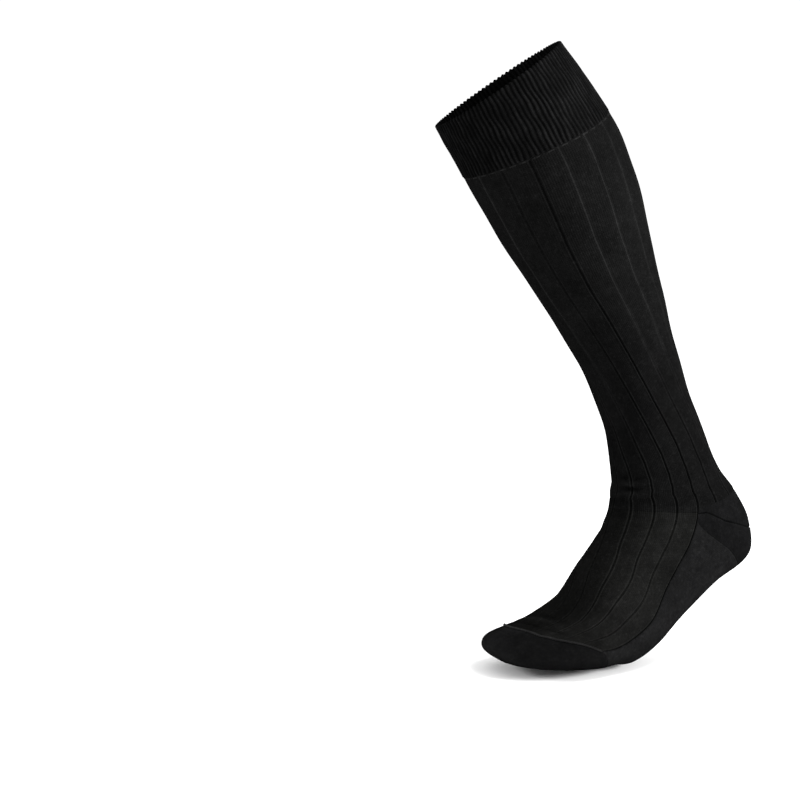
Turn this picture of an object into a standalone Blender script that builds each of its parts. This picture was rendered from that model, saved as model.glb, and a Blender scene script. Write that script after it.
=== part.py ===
"""Knee sock for a left foot, held in the form of a striding leg.

Metres, +Z up, toes toward -X, little-toe side toward -Y. The origin is the seat, the
middle of the heel hollow, on the leg's axis. The heel is raised and the toes lie level.
One skin carries every piece: a course number runs from the cuff rim (0) to the toe tip,
and an angle runs round each course from the shin and the top of the foot (0) past the
sides (+-90) to the calf and the sole (180).
"""

import math
from collections import namedtuple

import bpy
import numpy as np

OBJECT_NAME = "knee_sock"

# Leg sizes
LEG_LENGTH = 0.335  # seat to the line under the cuff, along the lean
CUFF_HEIGHT = 0.050  # line under the cuff to the rim, at the middle
CALF_DEPTH = 0.124
CALF_WIDTH = 0.120
LEAN = 25.5  # degrees that the leg leans toward the toes
LEAN_TURN = 25.0  # degrees that the lean turns from the foot's line toward the big toe

# Foot sizes
FOOT_PITCH = 32.0  # degrees that the sole slopes, heel up
SEAT_AHEAD = 0.0465  # back of the heel to the seat, along the sole
SEAT_RISE = 0.041  # sole line to the seat
HEEL_TO_BALL = 0.155  # back of the heel to the bend under the ball
BALL_DROP = 0.005  # sole line to the bend under the ball
INSTEP_HEIGHT = 0.110
HEEL_WIDTH = 0.068
TOE_LENGTH = 0.106  # bend under the ball to the toe tip
TOE_HEIGHT = 0.030
TOE_SPRING = 6.0  # degrees that the toes rise from level
BALL_WIDTH = 0.103

# Knit sizes
WALL = 0.0012  # leg and instep
CUFF_WALL = 0.0016  # folded double
SOLE_WALL = 0.0014
POCKET_WALL = 0.0016  # heel and toe, reinforced
CLEARANCE = 0.0003
CUFF_RIBS = 96
RIB_DEPTH = 0.0009
PANELS = 16
GROOVE_WIDTH = 0.0030
GROOVE_DEPTH = 0.0009
PANEL_CROWN = 0.0003
CUFF_TILT = 0.0045  # how far the line under the cuff drops at the shin and rises at the calf
CUFF_DIP = 0.0020  # how far it sags at both sides
HEEL_CORNER = 0.0040  # height of the heel pocket where it ends at the side
HEEL_SPREAD = 0.6  # how soon the pocket widens behind its corner, 1 for evenly
SEAM_WIDTH = 0.0018
SEAM_RISE = 0.0007

# Folds: sunk across the front of the ankle, raised behind the toe seam
BEND_FOLD_DEPTH = 0.0010
BEND_FOLD_WIDTH = 0.006
BEND_FOLD_COURSES = 1.5  # courses that the fold lies above the bend line
TOE_FOLD_RISE = 0.0014
TOE_FOLD_WIDTH = 0.004
TOE_FOLD_BEHIND = 0.012

# Fullness of a section's corners, 2 for an ellipse
TOP_FULLNESS = 2.1
SOLE_FULLNESS = 2.6
TOE_FULLNESS = 2.5

# Spans of each piece along the sock
CUFF_SPANS = 3
LEG_SPANS = 14
HEEL_SPANS = 7
SOLE_SPANS = 10  # the instep has one more, beside the heel pocket's corner
TOE_SPANS = 7
BACK_STEPS = 24  # steps round the heel and the sole
TOE_EVERY = 3  # the toe cap's under side takes one in so many of those steps
ROUND_STEPS = 96  # points in one worked half section

# Leg courses, from the cuff line down: height as a share of LEG_LENGTH; front and back
# as shares of CALF_DEPTH, half_width of CALF_WIDTH; tilt in degrees past the lean.
LegRow = namedtuple("LegRow", "height front back half_width tilt")
LEG_ROWS = (
    LegRow(1.00, 0.320, 0.650, 0.495, -4.5),
    LegRow(0.85, 0.290, 0.635, 0.468, -3.5),
    LegRow(0.67, 0.225, 0.535, 0.390, -2.5),
    LegRow(0.49, 0.172, 0.426, 0.310, -1.3),
    LegRow(0.35, 0.198, 0.360, 0.274, 0.0),
    LegRow(0.25, 0.285, 0.335, 0.274, 0.0),
)

# The rim: the same shares, with the height of the cuff added above LEG_LENGTH.
RIM_ROW = LegRow(1.00, 0.340, 0.552, 0.475, 9.0)

# Foot courses, ankle to ball: along as shares of HEEL_TO_BALL, up of INSTEP_HEIGHT,
# half_width of HEEL_WIDTH, shift toward the big toe of HEEL_WIDTH; widest and side_at as
# shares of the way from top to low, along the middle and round the skin.
FOOT_COLUMNS = "top_along top_up low_along low_up half_width widest shift side_at"
FootRow = namedtuple("FootRow", FOOT_COLUMNS)
FOOT_ROWS = (
    FootRow(0.518, 1.015, 0.010, 0.720, 0.490, 0.50, 0.14, 0.500),
    FootRow(0.561, 0.977, 0.002, 0.480, 0.495, 0.50, 0.10, 0.500),
    FootRow(0.604, 0.940, 0.020, 0.285, 0.490, 0.52, 0.06, 0.475),
    FootRow(0.648, 0.910, 0.115, 0.095, 0.490, 0.54, 0.02, 0.445),
    FootRow(0.690, 0.880, 0.360, 0.088, 0.480, 0.56, 0.00, 0.495),
    FootRow(0.729, 0.845, 0.600, 0.060, 0.505, 0.58, 0.00, 0.535),
    FootRow(0.800, 0.798, 0.815, 0.022, 0.565, 0.60, 0.00, 0.580),
    FootRow(0.910, 0.735, 0.980, 0.040, 0.610, 0.62, 0.00, 0.565),
)

TURN_ROWS = 4  # rows over which the section turns from the leg's side to the foot's

# Toe courses, ball to tip: along as shares of TOE_LENGTH, up of TOE_HEIGHT, half_width
# and shift of BALL_WIDTH.
TOE_ROWS = (
    FootRow(0.400, 1.670, 0.140, 0.000, 0.445, 0.62, 0.01, 0.540),
    FootRow(0.490, 1.260, 0.325, -0.070, 0.490, 0.60, 0.02, 0.500),
    FootRow(0.620, 0.960, 0.565, -0.090, 0.485, 0.60, 0.01, 0.500),
    FootRow(0.760, 0.770, 0.760, -0.080, 0.425, 0.60, 0.02, 0.500),
    FootRow(0.895, 0.600, 0.905, -0.030, 0.315, 0.58, 0.04, 0.500),
    FootRow(0.973, 0.430, 0.972, 0.110, 0.160, 0.55, 0.06, 0.500),
    FootRow(1.000, 0.265, 1.000, 0.255, 0.004, 0.50, 0.065, 0.500),
)

# Named courses, counted from the rim
RIM = 0.0
CUFF_LINE = 1.0
ANKLE_TOP = 1.0 + len(LEG_ROWS)
BEND_LINE = ANKLE_TOP + 1.7
HEEL_TOP = ANKLE_TOP + 0.6
HEEL_LOW = ANKLE_TOP + 3.7
BALL = ANKLE_TOP + len(FOOT_ROWS)
TIP = BALL + len(TOE_ROWS) - 1.0

# Toe line: course after BALL at angles round the foot
ToeLineRow = namedtuple("ToeLineRow", "angle after_ball")
TOE_LINE_ROWS = (
    ToeLineRow(-180.0, 0.65),
    ToeLineRow(-135.0, 0.67),
    ToeLineRow(-100.0, 0.72),
    ToeLineRow(-90.0, 0.90),
    ToeLineRow(-80.0, 1.42),
    ToeLineRow(-70.0, 1.96),
    ToeLineRow(-60.0, 2.48),
    ToeLineRow(-45.0, 2.94),
    ToeLineRow(-20.0, 3.20),
    ToeLineRow(0.0, 3.36),
    ToeLineRow(20.0, 3.42),
    ToeLineRow(45.0, 3.30),
    ToeLineRow(90.0, 2.30),
    ToeLineRow(135.0, 1.10),
    ToeLineRow(180.0, 0.65),
)

# Turn of the wales. On the leg they lie round from their place at the bend line, in
# degrees toward the big toe; the toes draw them toward the little toe.
TurnRow = namedtuple("TurnRow", "course degrees")
LEG_TURN_ROWS = (  # courses after CUFF_LINE
    TurnRow(0.3, 37.0),
    TurnRow(1.5, 40.0),
    TurnRow(2.1, 38.5),
    TurnRow(2.7, 32.5),
    TurnRow(3.5, 23.5),
    TurnRow(4.5, 9.5),
    TurnRow(5.1, 1.5),
    TurnRow(5.7, -4.0),
    TurnRow(6.1, -4.0),
    TurnRow(6.6, 0.0),
)
TOE_DRAW_ROWS = (  # courses after BALL
    TurnRow(-5.0, 0.0),
    TurnRow(-3.0, 3.0),
    TurnRow(-2.0, 6.0),
    TurnRow(-1.0, 11.0),
    TurnRow(0.0, 17.0),
    TurnRow(0.9, 24.0),
)
STILL_FROM = 88.0  # degrees from the middle of the instep where the draw has died out

COLOURS = {
    "cuff": (0.020, 0.020, 0.021),
    "leg": (0.022, 0.022, 0.023),
    "heel": (0.014, 0.014, 0.015),
    "instep": (0.024, 0.024, 0.023),
    "sole": (0.030, 0.030, 0.031),
    "toe": (0.015, 0.015, 0.016),
    "toe_seam": (0.034, 0.034, 0.035),
}


def degrees_pair(angle):
    """Cosine and sine of an angle in degrees."""
    turned = math.radians(angle)
    return math.cos(turned), math.sin(turned)


def leg_up(tilt):
    """Unit direction up the leg, leaning by tilt degrees."""
    upright, leaning = degrees_pair(tilt)
    ahead, aside = degrees_pair(LEAN_TURN)
    return np.array([-leaning * ahead, leaning * aside, upright])


def leg_course(row, extra_height):
    """Front point, back point, side direction and the shape numbers of a leg course."""
    centre = leg_up(LEAN) * (row.height * LEG_LENGTH + extra_height)
    up = leg_up(LEAN + row.tilt)
    backward = np.array([1.0, 0.0, 0.0]) - up * up[0]
    backward /= np.linalg.norm(backward)
    side = np.cross(up, backward)
    front_point = centre - backward * row.front * CALF_DEPTH
    back_point = centre + backward * row.back * CALF_DEPTH
    return front_point, back_point, side, (row.half_width * CALF_WIDTH, 0.5, 2.0, 2.0, 0.5)


def slope_point(origin, angle, along, up):
    """Point along and above a line that runs toward the toes and down by angle degrees."""
    level, drop = degrees_pair(angle)
    return origin + np.array([-level, 0.0, -drop]) * along + np.array([-drop, 0.0, level]) * up


HEEL_POINT = slope_point(np.zeros(3), FOOT_PITCH, -SEAT_AHEAD, -SEAT_RISE)
BALL_POINT = slope_point(HEEL_POINT, FOOT_PITCH, HEEL_TO_BALL, BALL_DROP)


def foot_course(row, origin, angle, sizes, side, fullness):
    """The same four things for a course of the foot or the toes."""
    length, height, width = sizes
    moved = side * row.shift * width
    top = slope_point(origin, angle, row.top_along * length, row.top_up * height) + moved
    low = slope_point(origin, angle, row.low_along * length, row.low_up * height) + moved
    return top, low, side, (row.half_width * width, row.widest, TOP_FULLNESS, fullness, row.side_at)


def all_courses():
    """Every course from rim to tip. The foot's first rows turn from the leg's side to level."""
    courses = [leg_course(RIM_ROW, CUFF_HEIGHT)]
    courses += [leg_course(row, 0.0) for row in LEG_ROWS]
    leg_side = courses[-1][2]
    level_side = np.array([0.0, 1.0, 0.0])
    foot_sizes = (HEEL_TO_BALL, INSTEP_HEIGHT, HEEL_WIDTH)
    toe_sizes = (TOE_LENGTH, TOE_HEIGHT, BALL_WIDTH)
    for index, row in enumerate(FOOT_ROWS):
        share = min(1.0, (index + 0.5) / TURN_ROWS)
        side = leg_side * (1.0 - share) + level_side * share
        side /= np.linalg.norm(side)
        fullness = 2.0 + (SOLE_FULLNESS - 2.0) * share
        courses.append(foot_course(row, HEEL_POINT, FOOT_PITCH, foot_sizes, side, fullness))
    for row in TOE_ROWS:
        place = (BALL_POINT, -TOE_SPRING, toe_sizes, level_side)
        courses.append(foot_course(row, *place, TOE_FULLNESS))
    return courses


COURSES = all_courses()
FRONTS = np.array([course[0] for course in COURSES])
BACKS = np.array([course[1] for course in COURSES])
SIDES = np.array([course[2] for course in COURSES])
SHAPES = np.array([course[3] for course in COURSES])
STEPS = np.linalg.norm(np.diff((FRONTS + BACKS) / 2, axis=0), axis=1)
STEPS += 0.5 * np.linalg.norm(np.diff(BACKS, axis=0), axis=1)
KNOTS = np.concatenate([[0.0], np.cumsum(STEPS)])
GROOVE_EDGE = 0.5 * GROOVE_WIDTH / (math.pi * CALF_WIDTH) * 360.0
HALF_SEAM = SEAM_WIDTH / 2


def eased(values, course):
    """Values at a course number, on a curve through the rows."""
    last = len(KNOTS) - 1
    low = int(min(max(math.floor(course), 0), last - 1))
    start, end = KNOTS[low], KNOTS[low + 1]
    share = course - low
    step = end - start

    def slope(index):
        before = max(index - 1, 0)
        after = min(index + 1, last)
        return (values[after] - values[before]) / (KNOTS[after] - KNOTS[before])

    square, cube = share**2, share**3
    return (
        values[low] * (2 * cube - 3 * square + 1)
        + values[low + 1] * (3 * square - 2 * cube)
        + slope(low) * step * (cube - 2 * square + share)
        + slope(low + 1) * step * (cube - square)
    )


def skin_point(course, angle):
    """Point of the plain skin: even steps round the front, and round the back."""
    front = eased(FRONTS, course)
    back = eased(BACKS, course)
    side = eased(SIDES, course)
    half_width, widest, round_front, round_back, side_at = eased(SHAPES, course)
    axis = back - front
    depth = np.linalg.norm(axis)
    axis = axis / depth
    side = side - axis * np.dot(side, axis)
    side = side / np.linalg.norm(side)
    turn = np.linspace(0.0, math.pi, ROUND_STEPS + 1)
    ahead, across = np.cos(turn), np.abs(np.sin(turn))
    power = np.where(ahead > 0, 2.0 / round_front, 2.0 / round_back)
    reach = np.where(ahead > 0, widest, 1.0 - widest) * depth
    along = widest * depth - np.sign(ahead) * np.abs(ahead) ** power * reach
    out = across**power * half_width
    lengths = np.hypot(np.diff(along), np.diff(out))
    way = np.concatenate([[0.0], np.cumsum(lengths)])
    wrapped = from_front(angle)
    at = np.interp(abs(wrapped), (0.0, 90.0, 180.0), (0.0, side_at, 1.0)) * way[-1]
    sign = 1.0 if wrapped >= 0 else -1.0
    return front + axis * np.interp(at, way, along) + side * sign * np.interp(at, way, out)


def outward(course, angle):
    """Unit normal of the plain skin."""
    before, after = max(course - 0.04, RIM), min(course + 0.04, TIP)
    down = skin_point(after, angle) - skin_point(before, angle)
    around = skin_point(course, angle + 1.5) - skin_point(course, angle - 1.5)
    normal = np.cross(around, down)
    return normal / np.linalg.norm(normal)


def from_front(angle):
    """The same angle, from -180 to 180."""
    return (angle + 180.0) % 360.0 - 180.0


def turned_angle(course, angle):
    """Angle on the skin of a wale, named by its angle at the bend line."""
    leg_turn = np.interp(course - CUFF_LINE, *zip(*LEG_TURN_ROWS))
    draw = np.interp(course - BALL, *zip(*TOE_DRAW_ROWS))
    aside = min(1.0, abs(from_front(angle)) / STILL_FROM)
    return angle + leg_turn - draw * math.cos(aside * math.pi / 2)


def course_after(course, angle, distance):
    """Course number that lies a distance further down the skin."""
    step = 0.02
    speed = np.linalg.norm(skin_point(course + step, angle) - skin_point(course - step, angle))
    return course + distance * 2 * step / speed


def angle_for(course, angle, distance):
    """Degrees round the skin that cover a distance at that place."""
    reach = np.linalg.norm(skin_point(course, angle + 1.0) - skin_point(course, angle - 1.0))
    return 2.0 * distance / reach


def side_share(angle):
    """0 at the sides and in front, 1 at the calf or the sole, quick at first."""
    return max(0.0, (abs(from_front(angle)) - 90.0) / 90.0) ** HEEL_SPREAD


def cuff_line(angle):
    """Line under the cuff, lower at the shin than at the calf."""
    ahead, aside = degrees_pair(angle)
    return course_after(CUFF_LINE, angle, CUFF_TILT * ahead + CUFF_DIP * aside**2)


def heel_top(angle):
    """Upper edge of the heel pocket."""
    return BEND_LINE + (HEEL_TOP - BEND_LINE) * side_share(angle)


def heel_low(angle):
    """Lower edge of the heel pocket."""
    corner = course_after(BEND_LINE, 90.0, HEEL_CORNER)
    return corner + (HEEL_LOW - corner) * side_share(angle)


def toe_line(angle):
    """Course where the toe cap starts."""
    table = np.array(TOE_LINE_ROWS)
    return BALL + np.interp(from_front(angle), table[:, 0], table[:, 1])


def toe_edge(angle, distance):
    """Course at a distance past the toe line, measured square to the line."""
    course, reach = toe_line(angle), 3.0
    step = skin_point(course, angle + reach) - skin_point(course, angle - reach)
    rise = toe_line(angle + reach) - toe_line(angle - reach)
    speed = np.linalg.norm(skin_point(course + 0.02, angle) - skin_point(course - 0.02, angle))
    slope = rise * speed / 0.04 / np.linalg.norm(step)
    return course_after(course, angle, distance * math.hypot(1.0, slope))


def ridge(course, angle, centre, width):
    """A rounded ridge of height 1 across the top, that runs out before the sides."""
    offset = np.linalg.norm(skin_point(course, angle) - skin_point(centre, angle))
    fade = max(0.0, math.cos(math.radians(angle))) ** 2 if abs(angle) < 90 else 0.0
    return fade * math.exp(-((offset / width) ** 2))


def panel_relief(angle):
    """Groove between two panels, or the crown of a panel."""
    place = (angle % (360.0 / PANELS)) / (360.0 / PANELS)
    edge = GROOVE_EDGE / (360.0 / PANELS)
    nearest = min(place, 1.0 - place)
    if nearest < edge * 0.5:
        return -GROOVE_DEPTH
    return PANEL_CROWN * (nearest - edge) / (0.5 - edge)


def panel_angles(start, end):
    """Angles of the grooves, their edges and the middles of the panels."""
    panel = 360.0 / PANELS
    first, last = round(start / panel), round(end / panel)
    angles = []
    for index in range(first, last):
        at = index * panel
        angles += [at, at + GROOVE_EDGE, at + 0.5 * panel, at + panel - GROOVE_EDGE]
    angles.append(last * panel)
    return angles


def even_angles(start, end, count):
    """Angles at equal steps, both ends included."""
    return list(np.linspace(start, end, count + 1))


def fold_relief(course, angle):
    """The fold across the front of the ankle and the fold behind the toe seam."""
    bend_fold = BEND_LINE - BEND_FOLD_COURSES
    toe_fold = course_after(toe_line(angle), angle, -TOE_FOLD_BEHIND)
    sunk = BEND_FOLD_DEPTH * ridge(course, angle, bend_fold, BEND_FOLD_WIDTH)
    return TOE_FOLD_RISE * ridge(course, angle, toe_fold, TOE_FOLD_WIDTH) - sunk


def between(first, last, spans):
    """Course numbers from first to last in equal steps."""
    return [first + (last - first) * row / spans for row in range(spans + 1)]


def shell(name, angles, courses_at, wall, relief, closed):
    """Piece on a grid of courses and wales, open at its edges, its wall outside the skin."""
    lines = [courses_at(angle) for angle in angles]
    rows, count = len(lines[0]), len(angles)
    points = []
    for row in range(rows):
        for angle, line in zip(angles, lines):
            course, turned = line[row], turned_angle(line[row], angle)
            lift = relief(course, angle)
            points.append(tuple(skin_point(course, turned) + outward(course, turned) * lift))
    faces = []
    for row in range(rows - 1):
        for column in range(count if closed else count - 1):
            beside = (column + 1) % count
            here, below = row * count, (row + 1) * count
            faces.append((here + column, here + beside, below + beside, below + column))
    return finish_piece(name, points, faces, wall)


def finish_piece(name, points, faces, wall):
    """Object with its wall and its own material, in the sock's collection."""
    mesh = bpy.data.meshes.new(name)
    mesh.from_pydata(points, [], faces)
    mesh.update()
    mesh.shade_smooth()
    mesh.set_sharp_from_angle(angle=math.radians(50.0))
    piece = bpy.data.objects.new(name, mesh)
    thick = piece.modifiers.new("wall", "SOLIDIFY")
    thick.thickness = wall
    thick.offset = 1.0
    material = bpy.data.materials.new(name + "_knit")
    material.use_nodes = True
    shader = material.node_tree.nodes["Principled BSDF"]
    shader.inputs["Base Color"].default_value = (*COLOURS[name], 1.0)
    shader.inputs["Roughness"].default_value = 0.85
    mesh.materials.append(material)
    COLLECTION.objects.link(piece)
    return piece


def toe_cap(name, angles, start, wall):
    """Closed cap from the toe line to the tip, its last row drawn into one point."""
    count = len(angles)
    points = []
    for row in range(TOE_SPANS):
        share = 1.0 - (1.0 - row / TOE_SPANS) ** 1.5
        for angle in angles:
            first = start(angle)
            course = first + (TIP - first) * share
            points.append(tuple(skin_point(course, turned_angle(course, angle))))
    points.append(tuple((skin_point(TIP, 0.0) + skin_point(TIP, 180.0)) / 2))
    faces = []
    for row in range(TOE_SPANS - 1):
        for column in range(count):
            beside = (column + 1) % count
            here, below = row * count, (row + 1) * count
            faces.append((here + column, here + beside, below + beside, below + column))
    last = (TOE_SPANS - 1) * count
    for column in range(count):
        faces.append((last + column, last + (column + 1) % count, len(points) - 1))
    return finish_piece(name, points, faces, wall)


def rib_relief(course, angle):
    """Knit ribs of the cuff: high on even columns, low on odd ones."""
    column = round((angle % 360.0) / (180.0 / CUFF_RIBS))
    return RIB_DEPTH * (0.5 if column % 2 == 0 else -0.5)


def leg_relief(course, angle):
    """Panels of the leg with the fold at the front of the ankle."""
    return panel_relief(angle) + fold_relief(course, turned_angle(course, angle))


def instep_relief(course, angle):
    """Panels of the instep, running out at the toes, with no groove along the sole."""
    turned = turned_angle(course, angle)
    fade = max(0.0, min(1.0, (toe_line(turned) - course) / 1.5))
    if abs(angle) > 90.0 - GROOVE_EDGE / 2:
        fade = 0.0
    return panel_relief(angle) * fade + fold_relief(course, turned)


def flat_relief(course, angle):
    """No relief."""
    return 0.0


def cuff_courses(angle):
    """From the rim down to the line under the cuff."""
    turned = turned_angle(CUFF_LINE, angle)
    return between(RIM, course_after(cuff_line(turned), turned, -CLEARANCE), CUFF_SPANS)


def leg_courses(angle):
    """Down to the bend line in front and to the heel pocket behind."""
    start = cuff_line(turned_angle(CUFF_LINE, angle))
    end = course_after(heel_top(angle), angle, -CLEARANCE)
    return between(start, end, LEG_SPANS)


def heel_courses(angle):
    """Between the two edges of the heel pocket."""
    return between(heel_top(angle), heel_low(angle), HEEL_SPANS)


def foot_rows(start, turned):
    """Rows inside the foot, in step on both sides of the line between instep and sole."""
    return between(start, toe_line(turned), SOLE_SPANS)[1:-1]


def instep_courses(angle):
    """One span beside the pocket's corner, then down to the toe seam."""
    corner, turned = heel_low(90.0), turned_angle(TIP, angle)
    end = toe_edge(turned, -HALF_SEAM - CLEARANCE)
    return [BEND_LINE, corner, *foot_rows(corner, turned), end]


def sole_courses(angle):
    """From the heel pocket to the toe cap."""
    start = course_after(heel_low(angle), angle, CLEARANCE)
    return [start, *foot_rows(heel_low(angle), angle), toe_edge(angle, HALF_SEAM)]


def toe_start(angle):
    """Edge of the toe cap, clear of the seam."""
    return toe_edge(turned_angle(TIP, angle), HALF_SEAM + CLEARANCE)


def seam_courses(angle):
    """Both edges of the raised seam."""
    turned = turned_angle(TIP, angle)
    return [toe_edge(turned, -HALF_SEAM), toe_edge(turned, HALF_SEAM)]


for old in list(bpy.data.objects):
    bpy.data.objects.remove(old, do_unlink=True)
COLLECTION = bpy.data.collections.new(OBJECT_NAME)
bpy.context.scene.collection.children.link(COLLECTION)

SIDE_GAP = angle_for(BEND_LINE + 1.0, 90.0, CLEARANCE)
RIB_ANGLES = [index * 180.0 / CUFF_RIBS for index in range(2 * CUFF_RIBS)]
ROUND_ANGLES = panel_angles(-180.0, 180.0)[:-1]
FRONT_ANGLES = panel_angles(-90.0, 90.0)
FRONT_ANGLES[0] += SIDE_GAP / 2
FRONT_ANGLES[-1] -= SIDE_GAP / 2
BACK_ANGLES = even_angles(90.0 + SIDE_GAP / 2, 270.0 - SIDE_GAP / 2, BACK_STEPS)
TOE_ANGLES = FRONT_ANGLES + BACK_ANGLES[::TOE_EVERY]

shell("cuff", RIB_ANGLES, cuff_courses, CUFF_WALL, rib_relief, True)
shell("leg", ROUND_ANGLES, leg_courses, WALL, leg_relief, True)
shell("heel", BACK_ANGLES, heel_courses, POCKET_WALL, flat_relief, False)
shell("instep", FRONT_ANGLES, instep_courses, WALL, instep_relief, False)
shell("sole", BACK_ANGLES, sole_courses, SOLE_WALL, flat_relief, False)
toe_cap("toe", TOE_ANGLES, toe_start, POCKET_WALL)
shell("toe_seam", FRONT_ANGLES, seam_courses, POCKET_WALL + SEAM_RISE, flat_relief, False)
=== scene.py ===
# %% [markdown]
# # A knee sock in black rib
#
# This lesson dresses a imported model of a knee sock: a long ribbed leg with a fine-ribbed
# cuff, a turned heel, a plain sole and a toe cap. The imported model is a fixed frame. It
# gives the places and sizes, and each of its plain pieces is replaced here by a finer
# surface in the same place, with the knit drawn on it.

import math
from collections import namedtuple

import bmesh
import bpy
import numpy as np
from mathutils import Matrix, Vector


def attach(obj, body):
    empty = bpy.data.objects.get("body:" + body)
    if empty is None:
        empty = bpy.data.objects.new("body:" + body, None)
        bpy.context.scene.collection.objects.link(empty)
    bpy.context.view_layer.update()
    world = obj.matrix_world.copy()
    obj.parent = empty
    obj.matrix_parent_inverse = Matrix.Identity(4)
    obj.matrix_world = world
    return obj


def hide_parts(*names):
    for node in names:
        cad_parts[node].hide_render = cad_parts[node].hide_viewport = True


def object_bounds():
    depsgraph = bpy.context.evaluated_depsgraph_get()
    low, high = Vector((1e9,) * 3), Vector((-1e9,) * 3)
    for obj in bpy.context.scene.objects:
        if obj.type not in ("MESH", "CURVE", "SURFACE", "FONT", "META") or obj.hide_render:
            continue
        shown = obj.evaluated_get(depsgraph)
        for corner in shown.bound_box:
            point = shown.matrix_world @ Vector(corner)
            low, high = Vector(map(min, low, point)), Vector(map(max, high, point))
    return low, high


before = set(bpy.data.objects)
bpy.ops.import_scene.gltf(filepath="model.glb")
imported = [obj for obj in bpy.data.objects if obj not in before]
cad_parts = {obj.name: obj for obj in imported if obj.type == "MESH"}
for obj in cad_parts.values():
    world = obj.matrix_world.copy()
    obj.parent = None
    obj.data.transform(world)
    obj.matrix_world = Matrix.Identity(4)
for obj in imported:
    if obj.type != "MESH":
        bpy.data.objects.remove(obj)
CAD_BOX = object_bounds()
print("CAD box", [[round(value, 4) for value in corner] for corner in CAD_BOX])

# %% [markdown]
# ## One skin for the whole sock
#
# A sock is a tube that follows a leg, so the shape is a row of oval courses. Each course
# has a front point and a back point, and an oval between them. The leg's courses lie
# square to the leg. The foot's courses fan out round the heel. A point of the skin is
# named by two numbers: its course, counted down from the rim, and its angle round the
# leg, from the shin (0) past the sides (90) to the calf (180). Every piece reads the same
# skin, so neighbours meet without fitting.

# %% Sizes of the leg and the foot, in metres
LEG_LENGTH = 0.335  # heel seat to the line under the cuff
CUFF_HEIGHT = 0.050
CALF_DEPTH = 0.124
CALF_WIDTH = 0.120
LEAN = 25.5  # degrees that the leg leans toward the toes
LEAN_TURN = 25.0  # degrees that the lean turns toward the big toe
FOOT_PITCH = 32.0  # degrees that the sole slopes, heel up
SEAT_AHEAD = 0.0465
SEAT_RISE = 0.041
HEEL_TO_BALL = 0.155
BALL_DROP = 0.005
INSTEP_HEIGHT = 0.110
HEEL_WIDTH = 0.068
TOE_LENGTH = 0.106
TOE_HEIGHT = 0.030
TOE_SPRING = 6.0  # degrees that the toes rise from level
BALL_WIDTH = 0.103
TOP_FULLNESS = 2.1
SOLE_FULLNESS = 2.6
TOE_FULLNESS = 2.5
TURN_ROWS = 4

# Lengths are shares of the sizes above: height of LEG_LENGTH, front and back of
# CALF_DEPTH, half_width of CALF_WIDTH; tilt is in degrees past the lean.
LegRow = namedtuple("LegRow", "height front back half_width tilt")
RIM_ROW = LegRow(1.00, 0.340, 0.552, 0.475, 9.0)
LEG_ROWS = (
    LegRow(1.00, 0.320, 0.650, 0.495, -4.5),
    LegRow(0.85, 0.290, 0.635, 0.468, -3.5),
    LegRow(0.67, 0.225, 0.535, 0.390, -2.5),
    LegRow(0.49, 0.172, 0.426, 0.310, -1.3),
    LegRow(0.35, 0.198, 0.360, 0.274, 0.0),
    LegRow(0.25, 0.285, 0.335, 0.274, 0.0),
)

# Ankle to ball, along in shares of HEEL_TO_BALL, up of INSTEP_HEIGHT, the rest of
# HEEL_WIDTH; widest and side_at are shares of the way from top to low.
FOOT_COLUMNS = "top_along top_up low_along low_up half_width widest shift side_at"
FootRow = namedtuple("FootRow", FOOT_COLUMNS)
FOOT_ROWS = (
    FootRow(0.518, 1.015, 0.010, 0.720, 0.490, 0.50, 0.14, 0.500),
    FootRow(0.561, 0.977, 0.002, 0.480, 0.495, 0.50, 0.10, 0.500),
    FootRow(0.604, 0.940, 0.020, 0.285, 0.490, 0.52, 0.06, 0.475),
    FootRow(0.648, 0.910, 0.115, 0.095, 0.490, 0.54, 0.02, 0.445),
    FootRow(0.690, 0.880, 0.360, 0.088, 0.480, 0.56, 0.00, 0.495),
    FootRow(0.729, 0.845, 0.600, 0.060, 0.505, 0.58, 0.00, 0.535),
    FootRow(0.800, 0.798, 0.815, 0.022, 0.565, 0.60, 0.00, 0.580),
    FootRow(0.910, 0.735, 0.980, 0.040, 0.610, 0.62, 0.00, 0.565),
)

# Ball to toe tip, in shares of TOE_LENGTH, TOE_HEIGHT and BALL_WIDTH.
TOE_ROWS = (
    FootRow(0.400, 1.670, 0.140, 0.000, 0.445, 0.62, 0.01, 0.540),
    FootRow(0.490, 1.260, 0.325, -0.070, 0.490, 0.60, 0.02, 0.500),
    FootRow(0.620, 0.960, 0.565, -0.090, 0.485, 0.60, 0.01, 0.500),
    FootRow(0.760, 0.770, 0.760, -0.080, 0.425, 0.60, 0.02, 0.500),
    FootRow(0.895, 0.600, 0.905, -0.030, 0.315, 0.58, 0.04, 0.500),
    FootRow(0.973, 0.430, 0.972, 0.110, 0.160, 0.55, 0.06, 0.500),
    FootRow(1.000, 0.265, 1.000, 0.255, 0.004, 0.50, 0.065, 0.500),
)

RIM = 0.0
CUFF_LINE = 1.0
ANKLE_TOP = 1.0 + len(LEG_ROWS)
BEND_LINE = ANKLE_TOP + 1.7
HEEL_TOP = ANKLE_TOP + 0.6
HEEL_LOW = ANKLE_TOP + 3.7
BALL = ANKLE_TOP + len(FOOT_ROWS)
TIP = BALL + len(TOE_ROWS) - 1.0


# %% [markdown]
# Each row of the tables becomes a course: a front point, a back point, the direction to the
# side and the numbers of its oval. The leg's rows stand on a line that leans, the foot's
# rows on a line that slopes from heel to ball, and the toes' rows on a nearly level one.

# %% Courses worked out from the rows
def leg_up(tilt):
    """Unit direction up the leg: straight up, leaned by tilt degrees in the lean's plane."""
    lean, turn = math.radians(tilt), math.radians(LEAN_TURN)
    ahead = math.sin(lean)
    return np.array([-ahead * math.cos(turn), ahead * math.sin(turn), math.cos(lean)])


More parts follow.
